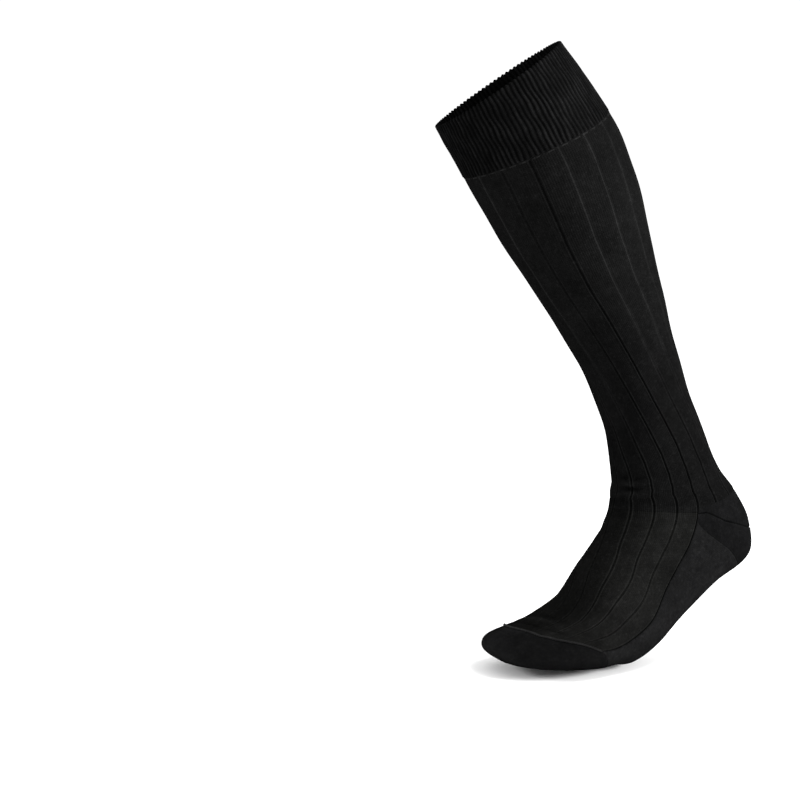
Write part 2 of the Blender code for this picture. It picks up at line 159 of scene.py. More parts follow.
def leg_course(row, extra_height):
    """Front point, back point, side direction and oval numbers of one leg course."""
    centre = leg_up(LEAN) * (row.height * LEG_LENGTH + extra_height)
    up = leg_up(LEAN + row.tilt)
    backward = np.array([1.0, 0.0, 0.0]) - up * up[0]
    backward /= np.linalg.norm(backward)
    front = centre - backward * row.front * CALF_DEPTH
    back = centre + backward * row.back * CALF_DEPTH
    oval = (row.half_width * CALF_WIDTH, 0.5, 2.0, 2.0, 0.5)
    return front, back, np.cross(up, backward), oval


def slope_point(origin, angle, along, up):
    """Point along and above a line toward the toes that drops by angle degrees."""
    level, drop = math.cos(math.radians(angle)), math.sin(math.radians(angle))
    return origin + np.array([-level, 0.0, -drop]) * along + np.array([-drop, 0.0, level]) * up


HEEL_POINT = slope_point(np.zeros(3), FOOT_PITCH, -SEAT_AHEAD, -SEAT_RISE)
BALL_POINT = slope_point(HEEL_POINT, FOOT_PITCH, HEEL_TO_BALL, BALL_DROP)


def foot_course(row, origin, angle, sizes, side, fullness):
    """The same four things for a course of the foot or the toes."""
    length, height, width = sizes
    moved = side * row.shift * width
    top = slope_point(origin, angle, row.top_along * length, row.top_up * height) + moved
    low = slope_point(origin, angle, row.low_along * length, row.low_up * height) + moved
    oval = (row.half_width * width, row.widest, TOP_FULLNESS, fullness, row.side_at)
    return top, low, side, oval


def all_courses():
    """Every course, rim to tip. The first foot rows turn from the leg's side to level."""
    courses = [leg_course(RIM_ROW, CUFF_HEIGHT)]
    courses += [leg_course(row, 0.0) for row in LEG_ROWS]
    leg_side, level_side = courses[-1][2], np.array([0.0, 1.0, 0.0])
    foot_sizes = (HEEL_TO_BALL, INSTEP_HEIGHT, HEEL_WIDTH)
    toe_sizes = (TOE_LENGTH, TOE_HEIGHT, BALL_WIDTH)
    for index, row in enumerate(FOOT_ROWS):
        share = min(1.0, (index + 0.5) / TURN_ROWS)
        side = leg_side * (1.0 - share) + level_side * share
        side /= np.linalg.norm(side)
        fullness = 2.0 + (SOLE_FULLNESS - 2.0) * share
        courses.append(foot_course(row, HEEL_POINT, FOOT_PITCH, foot_sizes, side, fullness))
    for row in TOE_ROWS:
        place = (BALL_POINT, -TOE_SPRING, toe_sizes, level_side)
        courses.append(foot_course(row, *place, TOE_FULLNESS))
    return courses


FRONTS, BACKS, SIDES, OVALS = (np.array(part) for part in zip(*all_courses()))
STEPS = np.linalg.norm(np.diff((FRONTS + BACKS) / 2, axis=0), axis=1)
STEPS += 0.5 * np.linalg.norm(np.diff(BACKS, axis=0), axis=1)
KNOTS = np.concatenate([[0.0], np.cumsum(STEPS)])
print("courses", len(KNOTS), "skin length", round(float(KNOTS[-1]), 3), "m")

# %% [markdown]
# The rows are joined by a smooth curve: between two rows each number follows a cubic that
# leaves one row and reaches the next with the slope of the rows around it. Round each
# course the angle is spread evenly over the cloth, as real wales are, so a small table
# turns "share of the way round" into the oval's own turn.


# %% Numbers between the rows
def eased(values, course):
    """Values at course numbers: cubic between rows, slopes taken over the rows each side."""
    last = len(KNOTS) - 1
    index = np.arange(last + 1)
    before, after = np.maximum(index - 1, 0), np.minimum(index + 1, last)
    slopes = (values[after] - values[before]) / (KNOTS[after] - KNOTS[before])[:, None]
    low = np.clip(np.floor(course).astype(int), 0, last - 1)
    share = (course - low)[..., None]
    step = (KNOTS[low + 1] - KNOTS[low])[..., None]
    square, cube = share**2, share**3
    return (
        values[low] * (2 * cube - 3 * square + 1)
        + values[low + 1] * (3 * square - 2 * cube)
        + slopes[low] * step * (cube - 2 * square + share)
        + slopes[low + 1] * step * (cube - square)
    )


def oval_point(oval, depth, turn):
    """Along = front half and back half of an oval; out = half width, both to a power."""
    half_width, widest, round_front, round_back = (oval[..., column] for column in range(4))
    ahead, across = np.cos(turn), np.abs(np.sin(turn))
    power = np.where(ahead > 0, 2.0 / round_front, 2.0 / round_back)
    reach = np.where(ahead > 0, widest, 1.0 - widest) * depth
    along = widest * depth - np.sign(ahead) * np.abs(ahead) ** power * reach
    return along, across**power * half_width


# %% Table of turns, spread evenly over the cloth
TABLE_STEP = 0.1  # courses between two rows of the turn table
TABLE_SHARES = 180
table_courses = np.arange(0.0, TIP + TABLE_STEP / 2, TABLE_STEP)[:, None]
table_turns = np.linspace(0.0, math.pi, 2 * TABLE_SHARES + 1)[None, :]
table_depths = np.linalg.norm(eased(BACKS, table_courses) - eased(FRONTS, table_courses), axis=-1)
table_along, table_out = oval_point(eased(OVALS, table_courses), table_depths, table_turns)
table_way = np.hypot(np.diff(table_along, axis=1), np.diff(table_out, axis=1)).cumsum(axis=1)
table_way = np.pad(table_way / table_way[:, -1:], ((0, 0), (1, 0)))
EVEN_SHARES = np.linspace(0.0, 1.0, TABLE_SHARES + 1)
TURNS = np.array([np.interp(EVEN_SHARES, way, table_turns[0]) for way in table_way])
print("turn table", TURNS.shape)


def turn_at(course, share):
    """The oval's turn at a share of the way round, weighed between four table entries."""
    row = np.clip(course / TABLE_STEP, 0.0, len(TURNS) - 1.001)
    column = np.clip(share * TABLE_SHARES, 0.0, TABLE_SHARES - 0.001)
    low, left = row.astype(int), column.astype(int)
    down, right = row - low, column - left
    upper = TURNS[low, left] * (1 - right) + TURNS[low, left + 1] * right
    lower = TURNS[low + 1, left] * (1 - right) + TURNS[low + 1, left + 1] * right
    return upper * (1 - down) + lower * down


# %% A point of the skin
def from_front(angle):
    """The same angle, from -180 to 180."""
    return (angle + 180.0) % 360.0 - 180.0


def skin(course, angle):
    """Point = front + axis x along + side x out, on the oval of that course."""
    course, angle = np.broadcast_arrays(course, angle)
    front, back, side = (eased(values, course) for values in (FRONTS, BACKS, SIDES))
    oval = eased(OVALS, course)
    axis = back - front
    depth = np.linalg.norm(axis, axis=-1)
    axis = axis / depth[..., None]
    side = side - axis * (side * axis).sum(-1, keepdims=True)
    side = side / np.linalg.norm(side, axis=-1, keepdims=True)
    wrapped = from_front(angle)
    half, side_at = np.abs(wrapped) / 90.0, oval[..., 4]
    share = np.where(half < 1.0, half * side_at, side_at + (half - 1.0) * (1.0 - side_at))
    along, out = oval_point(oval, depth, turn_at(course, share))
    out = np.where(wrapped >= 0, 1, -1) * out
    return front + axis * along[..., None] + side * out[..., None]


# %% [markdown]
# Relief is added along the skin's normal, and distances on the cloth are needed in metres.
# Both come from two short steps to each side of a point: their cross product is the
# normal, and their lengths say how long a course and a degree are there.

# %% Normals and distances
Place = namedtuple("Place", "course angle wale point normal pace reach")
COURSE_PROBE = 0.03  # courses above and below a point that give its slope
ANGLE_PROBE = 0.8  # degrees to both sides


def survey(course, angle, wale=None):
    """Skin points with their outward normals, metres per course and metres per degree."""
    course, angle = np.broadcast_arrays(course, angle)
    course = course.astype(float)
    above = np.maximum(course - COURSE_PROBE, -COURSE_PROBE)
    below = np.minimum(course + COURSE_PROBE, TIP)
    down = skin(below, angle) - skin(above, angle)
    around = skin(course, angle + ANGLE_PROBE) - skin(course, angle - ANGLE_PROBE)
    normal = np.cross(around, down)
    normal /= np.maximum(np.linalg.norm(normal, axis=-1, keepdims=True), 1e-12)
    pace = np.linalg.norm(down, axis=-1) / (below - above)
    reach = np.linalg.norm(around, axis=-1) / (2 * ANGLE_PROBE)
    wale = angle if wale is None else np.broadcast_to(wale, angle.shape)
    return Place(course, angle, wale, skin(course, angle), normal, pace, reach)


calf_ring = skin(np.full(361, CUFF_LINE + 1.0), np.arange(361.0))
calf_girth = np.linalg.norm(np.diff(calf_ring, axis=0), axis=1).sum()
print("girth of the calf", round(float(calf_girth), 3), "m")

# %% [markdown]
# The wales don't keep to one angle. Pulled over the calf they lie turned toward the big
# toe, and the bent toes draw them toward the little toe. A wale is named by its angle at
# the bend of the ankle, and two short tables say how far it lies from there.

# %% Turn of the wales
TurnRow = namedtuple("TurnRow", "course degrees")
LEG_TURN_ROWS = (  # courses after CUFF_LINE
    TurnRow(0.3, 37.0),
    TurnRow(1.5, 40.0),
    TurnRow(2.1, 38.5),
    TurnRow(2.7, 32.5),
    TurnRow(3.5, 23.5),
    TurnRow(4.5, 9.5),
    TurnRow(5.1, 1.5),
    TurnRow(5.7, -4.0),
    TurnRow(6.1, -4.0),
    TurnRow(6.6, 0.0),
)
TOE_DRAW_ROWS = (  # courses after BALL
    TurnRow(-5.0, 0.0),
    TurnRow(-3.0, 3.0),
    TurnRow(-2.0, 6.0),
    TurnRow(-1.0, 11.0),
    TurnRow(0.0, 17.0),
    TurnRow(0.9, 24.0),
)
STILL_FROM = 88.0  # degrees from the middle of the instep where the draw has died out


def on_skin(course, wale):
    """Angle of a wale on the skin: its own angle + the leg's turn - the draw x cosine."""
    leg_turn = np.interp(course - CUFF_LINE, *zip(*LEG_TURN_ROWS))
    draw = np.interp(course - BALL, *zip(*TOE_DRAW_ROWS))
    aside = np.minimum(1.0, np.abs(from_front(wale)) / STILL_FROM)
    return wale + leg_turn - draw * np.cos(aside * math.pi / 2)


def knitted(course, wale):
    """The survey of points named by course and wale."""
    course, wale = np.broadcast_arrays(course, wale)
    return survey(course, on_skin(course, wale), wale)


# %% [markdown]
# ## Lines on the skin
#
# The pieces end along lines: the line under the cuff, the two edges of the heel pocket
# and the toe line. Each line gives a course number for every angle, so it can sag, rise
# behind the heel or run diagonally over the toes.

# %% Where each piece ends
CUFF_TILT = 0.0045  # how far the line under the cuff drops at the shin and rises behind
CUFF_DIP = 0.0020  # how far it sags at both sides
HEEL_CORNER = 0.0040  # how far below the bend line the pocket's side corner ends
HEEL_SPREAD = 0.6  # power: below 1 the pocket widens quickly behind its corners
SEAM_WIDTH = 0.0018
JOIN = 0.00004  # hairline between two pieces

ToeLineRow = namedtuple("ToeLineRow", "angle after_ball")
TOE_LINE_ROWS = (
    ToeLineRow(-180.0, 0.65),
    ToeLineRow(-135.0, 0.67),
    ToeLineRow(-100.0, 0.72),
    ToeLineRow(-90.0, 0.90),
    ToeLineRow(-80.0, 1.42),
    ToeLineRow(-70.0, 1.96),
    ToeLineRow(-60.0, 2.48),
    ToeLineRow(-45.0, 2.94),
    ToeLineRow(-20.0, 3.20),
    ToeLineRow(0.0, 3.36),
    ToeLineRow(20.0, 3.42),
    ToeLineRow(45.0, 3.30),
    ToeLineRow(90.0, 2.30),
    ToeLineRow(135.0, 1.10),
    ToeLineRow(180.0, 0.65),
)


def course_after(course, angle, distance):
    """Course number a distance further down: distance over metres per course."""
    return course + distance / survey(course, angle).pace


def side_share(angle):
    """0 in front and at the sides, 1 at the calf, quick at first."""
    return np.clip((np.abs(from_front(angle)) - 90.0) / 90.0, 0.0, 1.0) ** HEEL_SPREAD


def cuff_line(angle):
    """Under the cuff: tilted by the cosine, sagging by the square of the sine."""
    turned = np.radians(angle)
    drop = CUFF_TILT * np.cos(turned) + CUFF_DIP * np.sin(turned) ** 2
    return course_after(CUFF_LINE, angle, drop)


def heel_top(angle):
    """Upper edge of the heel pocket, and the bend line in front of it."""
    return BEND_LINE + (HEEL_TOP - BEND_LINE) * side_share(angle)


def heel_low(angle):
    """Lower edge of the heel pocket."""
    corner = course_after(BEND_LINE, np.full_like(angle, 90.0), HEEL_CORNER)
    return corner + (HEEL_LOW - corner) * side_share(angle)


def toe_line(angle):
    """The toe seam: straight steps between the rows of its table."""
    angles, after = zip(*TOE_LINE_ROWS)
    return BALL + np.interp(from_front(angle), angles, after)


SLOPE_PROBE = 3.0  # degrees to both sides that give the toe line's slope


def toe_edge(angle, distance):
    """Course at a distance past the toe line, measured square to the line."""
    place = survey(toe_line(angle), angle)
    rise = toe_line(angle + SLOPE_PROBE) - toe_line(angle - SLOPE_PROBE)
    slope = rise * place.pace / (2 * SLOPE_PROBE * place.reach)
    return toe_line(angle) + distance * np.hypot(1.0, slope) / place.pace


# %% [markdown]
# ## Wales, panels and folds
#
# Rib knit is made of wales, the columns of stitches that run down the leg. Twelve plain
# wales and one reversed wale make a panel. The reversed wale sinks into a narrow groove,
# and the wales beside it roll up into lips. The calf stretches the cloth, so the grooves
# flatten there and their lips close into a ridge, a pale line partly drawn as a painted
# highlight. Below, the cloth is slack and the grooves are deep, with painted shade in
# them. All of the shape is relief: a height that is added along the skin's normal.

# %% Relief of the ribs
PANELS = 16
WALES_PER_PANEL = 12
WALES = PANELS * WALES_PER_PANEL

# Heights are in metres. What lies beside a line is placed and measured in wales.
WALE_RISE = 0.00014
GROOVE_DEPTH = 0.0008
GROOVE_WALES = 0.32
LIP_RISE = 0.00040
LIP_AT = 1.00
LIP_WALES = 0.45
RIDGE_RISE = 0.00045  # of the closed lips on the calf
RIDGE_WALES = 0.50
PANEL_CROWN = 0.00035
STRETCHED = CUFF_LINE + 1.6  # course in the middle of the stretched calf
STRETCH_RUN = 2.3  # courses over which the stretch fades
# The panels' tone is painted light: a painted highlight on the backs of wales, lips and ridges,
# painted shade between wales and in grooves.
WALE_PAINTED_LIGHT = 0.14  # how much paler the back of a wale is
GROOVE_PAINTED_SHADE = 0.60  # how much darker an open groove is

# Painted highlight on the lips of each line, on the calf and at the ankle, set line by line
# for where the light falls. Lines are counted from the instep's middle toward the big toe;
# those that the table leaves out keep the usual pair of values.
LineRow = namedtuple("LineRow", "line calf ankle")
USUAL_LINE_HIGHLIGHT = (0.9, 0.4)
LINE_ROWS = (
    LineRow(-7, 0.9, 0.5),
    LineRow(-6, 1.2, 0.6),
    LineRow(-5, 1.2, 0.6),
    LineRow(-4, 0.1, 0.5),
    LineRow(-3, 0.3, 0.5),
    LineRow(-2, 1.3, 0.7),
    LineRow(-1, 0.3, 1.0),
)
line_highlight = np.tile(USUAL_LINE_HIGHLIGHT, (PANELS, 1))
for line_row in LINE_ROWS:
    line_highlight[line_row.line % PANELS] = line_row.calf, line_row.ankle
print("panels", PANELS, "wales", WALES)


# %% Relief and tone of the panels
def bell(offset, width):
    """1 at the middle, falling by the square of offset over width."""
    return np.exp(-((offset / width) ** 2))


def stretch(course):
    """1 on the stretched calf, 0 on the slack ankle and foot."""
    return bell(np.maximum(course - STRETCHED, 0.0), STRETCH_RUN)


def wales_from_line(wale):
    """Distance to the nearest line between two panels, counted in wales."""
    share = (wale / 360.0 * PANELS) % 1.0
    return np.minimum(share, 1.0 - share) * WALES_PER_PANEL


def closed_lips(place):
    """Painted highlight of the nearest line, and how far its lips have closed to a ridge, 0 to 1.
    """
    line = np.round(place.wale / 360.0 * PANELS).astype(int) % PANELS
    tight = stretch(place.course)
    highlight = line_highlight[line, 0] * tight + line_highlight[line, 1] * (1.0 - tight)
    return highlight, tight * np.minimum(line_highlight[line, 0], 1.0)


def panel_relief(place):
    """Wale ridges + a low crown + the line: a closed ridge, or lips and their groove."""
    away = wales_from_line(place.wale)
    shut = closed_lips(place)[1]
    wales = WALE_RISE * np.cos(2 * math.pi * away) * (1.0 - bell(away, GROOVE_WALES))
    crown = PANEL_CROWN * np.sin(math.pi * away / WALES_PER_PANEL)
    lips = LIP_RISE * bell(away - LIP_AT, LIP_WALES)
    opened = lips - GROOVE_DEPTH * bell(away, GROOVE_WALES)
    return wales + crown + opened * (1.0 - shut) + RIDGE_RISE * bell(away, RIDGE_WALES) * shut


def panel_tone(place):
    """Painted light: wales + a painted highlight on the ridge or lips of a line - painted shade
    in its groove.
    """
    away = wales_from_line(place.wale)
    highlight, shut = closed_lips(place)
    ridge_highlight = highlight * bell(away, RIDGE_WALES) * shut
    lips = highlight * bell(away - LIP_AT, LIP_WALES) * (1.0 - shut)
    wales = WALE_PAINTED_LIGHT * np.cos(2 * math.pi * away)
    groove_shade = GROOVE_PAINTED_SHADE * bell(away, GROOVE_WALES) * (1.0 - shut)
    return 1.0 + wales + ridge_highlight + lips - groove_shade


# %% [markdown]
# Folds come from the pose: the raised heel pushes cloth up in front of the ankle, and the
# bent toes push a roll up behind the toe seam. Each fold is a short soft ridge or furrow.
# A row of the table says where its middle lies, how far it runs round the leg, how it
# slants, how wide it is and how high it rises; a rise below zero is a furrow.

# %% Folds
Fold = namedtuple("Fold", "course angle run slant width rise")
FOLDS = (
    Fold(ANKLE_TOP - 0.50, -25.0, 13.0, -0.006, 0.0013, -0.0010),
    Fold(ANKLE_TOP - 0.32, -20.0, 20.0, -0.006, 0.0022, 0.0008),
    Fold(ANKLE_TOP - 0.15, -23.0, 13.0, -0.009, 0.0015, -0.0012),
    Fold(ANKLE_TOP + 0.20, -15.0, 30.0, -0.003, 0.0045, 0.0009),
    Fold(ANKLE_TOP + 0.70, -5.0, 34.0, -0.001, 0.0050, -0.0007),
    Fold(ANKLE_TOP - 0.45, 32.0, 18.0, 0.005, 0.0018, -0.0009),
    Fold(ANKLE_TOP - 0.10, 28.0, 24.0, 0.004, 0.0030, 0.0007),
    Fold(BALL + 2.02, 12.0, 36.0, 0.003, 0.0019, 0.0012),
    Fold(BALL + 2.60, 8.0, 34.0, 0.002, 0.0022, -0.0006),
    Fold(BALL + 1.60, 6.0, 30.0, 0.003, 0.0022, -0.0005),
    Fold(BALL + 2.20, -42.0, 12.0, 0.020, 0.0012, -0.0006),
    Fold(ANKLE_TOP - 0.30, 160.0, 26.0, 0.003, 0.0050, -0.0006),
    Fold(ANKLE_TOP - 0.75, 168.0, 30.0, 0.002, 0.0050, 0.0005),
    Fold(ANKLE_TOP + 5.10, 165.0, 34.0, 0.000, 0.0050, 0.0005),
)
# Painted light on the folds: a painted highlight on their backs and painted shade in furrows.
FOLD_PAINTED_LIGHT = 550.0  # tone for a metre of rise: backs of folds are paler, furrows darker
print("folds", len(FOLDS))


def fold_relief(place):
    """Sum of the folds: rise x bell across the fold x bell along its run."""
    height = np.zeros_like(place.course)
    for fold in FOLDS:
        aside = from_front(place.angle - fold.angle)
        across = (place.course - fold.course - fold.slant * aside) * place.pace
        height += fold.rise * bell(across, fold.width) * bell(aside, fold.run)
    return height


def fold_tone(place):
    """1 on flat cloth; painted light: a painted highlight on a ridge and painted shade in a
    furrow.
    """
    return 1.0 + FOLD_PAINTED_LIGHT * fold_relief(place)


# %% [markdown]
# Worn cloth is never quite even. Three long waves of less than a fifth of a millimetre,
# each bent by a slower wave round the leg, keep the light from running too straight.

# %% Swells
Swell = namedtuple("Swell", "waves_down waves_round shift")
SWELLS = (Swell(9.0, 2.0, 0.3), Swell(5.0, 3.0, 1.9), Swell(13.0, 4.0, 4.1))
SWELL_RISE = 0.00018
SWELL_SLIDE = 2.0  # radians by which the shift slides a wave down the leg


def swell_relief(place):
    """Slow unevenness of worn cloth: a sum of long waves."""
    down = eased(KNOTS[:, None], place.course)[..., 0] / KNOTS[-1] * 2 * math.pi
    around = np.radians(place.angle)
    height = np.zeros_like(down)
    for swell in SWELLS:
        painted_bend_shade = np.sin(swell.waves_round * around + swell.shift)
        slide = math.sin(swell.shift) * SWELL_SLIDE
        height += np.sin(swell.waves_down * down + slide + painted_bend_shade)
    return SWELL_RISE * height


# %% [markdown]
# ## From a grid to a mesh
#
# A piece is a grid of points. Two closed grids make the leg and the cuff: the rows run
# down the outside, round the edge and up the inside, so the wall and its round edges are
# one surface. The other pieces are open sheets, and a Solidify modifier gives them their
# wall. Each mesh carries a UV map that counts wales across and stitches down, and a tone
# attribute for the paler and darker places.

# %% Mesh from rows and columns
STITCH_HEIGHT = 0.00135
FACE = 0.0013  # outer face of the single cloth above the skin that the foot fills
INNER_FADE = 0.6  # share of the relief that the inside doesn't show


def grid_mesh(name, points, across, down, tone, wrap_columns, wrap_rows):
    """Quads over the grid; across and down hold one row and column more where it wraps."""
    rows, columns = points.shape[:2]
    row = np.arange(rows if wrap_rows else rows - 1)[:, None]
    column = np.arange(columns if wrap_columns else columns - 1)[None, :]
    corners = [(0, 0), (0, 1), (1, 1), (1, 0)]
    index = [((row + r) % rows) * columns + (column + c) % columns for r, c in corners]
    faces = np.stack(index, axis=-1).reshape(-1, 4)
    mesh = bpy.data.meshes.new(name)
    mesh.from_pydata(points.reshape(-1, 3), [], faces)
    stitches = np.stack([across, down], axis=-1)
    corner_uv = np.stack([stitches[row + r, column + c] for r, c in corners], axis=2)
    layer = mesh.uv_layers.new(name="knit")
    layer.data.foreach_set("uv", corner_uv.astype(np.float32).ravel())
    attribute = mesh.attributes.new("tone", "FLOAT", "POINT")
    attribute.data.foreach_set("value", tone.astype(np.float32).ravel())
    mesh.shade_smooth()
    return mesh


# %% Piece in the scene
def show(name, mesh, wall=0.0):
    """The piece in the scene: it rides on the sock and replaces the plain node."""
    piece = bpy.data.objects.new(name + "_knit", mesh)
    bpy.context.scene.collection.objects.link(piece)
    if wall:
        thick = piece.modifiers.new("wall", "SOLIDIFY")
        thick.thickness = wall
        thick.offset = -1.0
    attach(piece, "root")
    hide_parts(name)
    sides = len(mesh.polygons) * (2 if wall else 1)
    print(name, "about", 2 * sides, "triangles")
    return piece


# %% Sheets and tubes
def even(lines):
    """Shares from 0 to 1, evenly spread over that many lines of the grid."""
    return np.linspace(0.0, 1.0, lines)


def down_the_columns(points):
    """Stitches counted down each column: length so far over the height of a stitch."""
    steps = np.linalg.norm(np.diff(points, axis=0), axis=-1)
    return np.pad(steps.cumsum(axis=0), ((1, 0), (0, 0))) / STITCH_HEIGHT


def sheet_piece(name, wales, start, end, shares, wall, relief, toner, stitch_rows=None):
    """Open sheet between two lines, FACE outside the skin, thickened inward."""
    first, last = start(wales), end(wales)
    place = knitted(first + (last - first) * shares[:, None], wales[None, :])
    points = place.point + place.normal * (FACE + relief(place))[..., None]
    across = np.broadcast_to(wales / 360.0 * WALES, place.course.shape)
    down = (stitch_rows or down_the_columns)(points)
    mesh = grid_mesh(name, points, across, down, toner(place), False, False)
    return show(name, mesh, wall)


def half_round(steps):
    """Shares along and lifts of a round edge, from the outside to the inside."""
    turn = np.linspace(0.0, math.pi, steps + 2)[1:-1]
    return np.sin(turn), (np.cos(turn) - 1.0)


def ring_piece(name, wales, start, end, shares, inner_shares, wall, relief, toner, edge_steps):
    """Closed tube: down the outside, round the edge, up the inside and round the rim."""
    first, last = start(wales), end(wales)
    bulge, sink = half_round(edge_steps)
    outside = first + (last - first) * shares[:, None]
    inside = first + (last - first) * inner_shares[::-1, None]
    low_edge = last + bulge[:, None] * wall / 2 / knitted(last, wales).pace
    rim = first - bulge[:, None] * wall / 2 / knitted(first, wales).pace
    course = np.concatenate([outside, low_edge, inside, rim])
    depth = np.concatenate([0.0 * shares, sink, 0.0 * inner_shares - 2.0, sink[::-1]]) / 2
    place = knitted(course, wales[None, :])
    height = wall * (1.0 + depth)[:, None] + relief(place) * (1.0 + INNER_FADE * depth)[:, None]
    points = place.point + place.normal * height[..., None]
    closed = np.concatenate([points, points[:1]])
    closed = np.concatenate([closed, closed[:, :1]], axis=1)
    turn = np.append(wales, wales[0] + 360.0) / 360.0 * WALES
    across = np.broadcast_to(turn, closed.shape[:2])
    mesh = grid_mesh(name, points, across, down_the_columns(closed), toner(place), True, True)
    return show(name, mesh)


# %% [markdown]
# ## The leg
#
# The leg is one knitted tube. Under the cuff runs the transfer row, where the machine
# changed from fine rib to panels: a thin raised line of pale loops. Rows are packed there
# and at the ankle, where the cloth folds, and are sparse on the smooth calf.

# %% Leg
LEG_WALL = 0.0012
CUFF_TUCK = 0.0006  # how far the leg's upper edge reaches into the cuff
TRANSFER_AT = 0.0009  # metres below the cuff
TRANSFER_WIDTH = 0.00045
TRANSFER_RISE = 0.0007
TRANSFER_TONE = 2.6
LOOPS = WALES / 2  # loops of the transfer row
LOOP_SHARE = 0.25
GAPS = 37.0  # places round the leg where the row fades
GAP_SHARE = 0.45
GAP_DRIFT = 5  # waves round the leg that spread those places unevenly
RIBS_GROW = 2.5 * TRANSFER_WIDTH  # metres below the cuff over which the panels rise


def transfer_row(place):
    """1 on the loops under the cuff, beaded and broken by two cosines of the wales."""
    below = (place.course - cuff_line(place.angle)) * place.pace - TRANSFER_AT
    turned = np.radians(place.wale)
    loops = LOOP_SHARE * np.cos(LOOPS * turned)
    gaps = GAP_SHARE * np.cos(GAPS * turned + np.sin(GAP_DRIFT * turned))
    return bell(below, TRANSFER_WIDTH) * np.clip(0.5 + loops + gaps, 0.0, 1.0)


def leg_relief(place):
    """Panels that start below the transfer row, folds, swells and the row itself."""
    below = (place.course - cuff_line(place.angle)) * place.pace
    grown = 1.0 - bell(np.maximum(below, 0.0), RIBS_GROW)
    ribs = panel_relief(place) * grown
    return ribs + fold_relief(place) + swell_relief(place) + TRANSFER_RISE * transfer_row(place)


# %% [markdown]
# Yarn on the back of a rib catches more light than yarn in a groove, and on a black sock
# that is nearly all that can be seen. Relief alone gives too little of it, so every piece
# also carries a tone: a number at each point that multiplies the yarn's colour.

# %% Shades of the leg
ANKLE_SHADE = 0.18  # how much darker the slack cloth of the ankle is than the calf
# Painted light: from SHADE_COURSE down, away from the shin, the leg is painted paler, as pale as
# the lit instep.
SHADE_COURSE = BEND_LINE - 0.42  # from here down the leg is as pale as the instep
SHADE_RUN = 0.08  # courses over which the shade changes
LOWER_LEG_PAINTED_LIGHT = 0.30
OUTER_FROM = 35.0  # degrees from the shin where that paler part begins
OUTER_OVER = 25.0  # degrees over which it grows


def leg_tone(place):
    """Panel and fold tone with a pale transfer row, and painted light that makes the ankle paler
    again at the bend.
    """
    outer = np.clip((np.abs(from_front(place.angle)) - OUTER_FROM) / OUTER_OVER, 0.0, 1.0)
    below = np.clip((place.course - SHADE_COURSE) / SHADE_RUN, 0.0, 1.0) * outer
    slack = 1.0 - ANKLE_SHADE * (1.0 - stretch(place.course))
    ribs = panel_tone(place) * fold_tone(place) * slack
    return ribs * (1.0 + LOWER_LEG_PAINTED_LIGHT * below) + TRANSFER_TONE * transfer_row(place)


# %% [markdown]
# The columns of the grid crowd at the lines between two panels, where the groove and its
# lips turn sharply, and spread over the plain wales. The rows crowd in the same way at the
# transfer row and at the ankle.

# %% Columns and rows of the leg
NEAR_LINE = np.array([0.0, 0.15, 0.30, 0.45, 0.60, 0.80, 1.00, 1.25])  # wales from a line
half_panel = np.concatenate([NEAR_LINE, np.arange(1.5, WALES_PER_PANEL / 2 + 0.1, 0.25)])
panel_columns = np.concatenate([half_panel, WALES_PER_PANEL - half_panel[-2:0:-1]])


def panel_wales(first, last):
    """Columns of the panels from line first to line last, close together at the lines."""
    lines = np.arange(first, last)[:, None] * WALES_PER_PANEL
    return ((lines + panel_columns) * 360.0 / WALES).ravel()


def leg_start(wales):
    """The line under the cuff, where each wale crosses it, tucked into the cuff's edge."""
    angle = on_skin(CUFF_LINE, wales)
    return course_after(cuff_line(angle), angle, -CUFF_TUCK)


TOP_SHARE = 0.010  # of the leg's length: the transfer row
ANKLE_SHARE = 0.72  # from here down the ankle begins
LEG_SHARES = np.concatenate(
    [
        np.linspace(0.0, TOP_SHARE, 9)[:-1],
        np.linspace(TOP_SHARE, ANKLE_SHARE, 38)[:-1],
        np.linspace(ANKLE_SHARE, 1.0, 44),
    ]
)
ring_piece(
    "leg",
    panel_wales(-PANELS // 2, PANELS // 2),
    leg_start,
    lambda angle: course_after(heel_top(angle), angle, -JOIN),
    LEG_SHARES,
    even(16),
    LEG_WALL,
    leg_relief,
    leg_tone,
    edge_steps=0,
)

# %% [markdown]
# ## The cuff
#
# The cuff is a doubled band in one-and-one rib: a raised wale, a sunk wale, and so on.
# Real ribs are never quite equal, so each one gets a slightly different height and
# wanders a little sideways. The band grips the calf and its rim turns over in a small
# round edge that shows the end of every rib.

# %% Cuff
CUFF_WALL = 0.0016
CUFF_RIBS = 96
RIB_DEPTH = 0.0012
CUFF_PROUD = 0.0003
RIM_SCALLOP = 0.0010
COLUMNS_PER_RIB = 8
RIB_MIDDLE = 0.6  # share of the rounded wave that lies below the cloth's face
RIB_WANDER = 0.07  # ribs to each side
WANDER_WAVES = ((9.0, 20.0), (17.0, 9.0))  # radians per course, waves round the cuff
RIB_UNEVEN = 0.12  # how much a rib's height changes along it
UNEVEN_WAVES = 14.0  # radians per course
RIB_SEED = 7
rib_heights = np.random.default_rng(RIB_SEED).uniform(0.65, 1.25, CUFF_RIBS)
rib_shifts = np.random.default_rng(RIB_SEED + 1).uniform(0.0, 2 * math.pi, CUFF_RIBS)


def rib_count(wale):
    """Ribs counted round the cuff from the back."""
    return (wale + 180.0) / 360.0 * CUFF_RIBS


def cuff_phase(place):
    """The count of ribs, wandering by two slow sines of the course."""
    turned = np.radians(place.wale)
    wander = sum(np.sin(place.course * down + turned * around) for down, around in WANDER_WAVES)
    return rib_count(place.wale) + RIB_WANDER * wander


def raised_cosine(count):
    """1 on each whole number, 0 halfway between, by the cosine."""
    return 0.5 + 0.5 * np.cos(2 * math.pi * count)


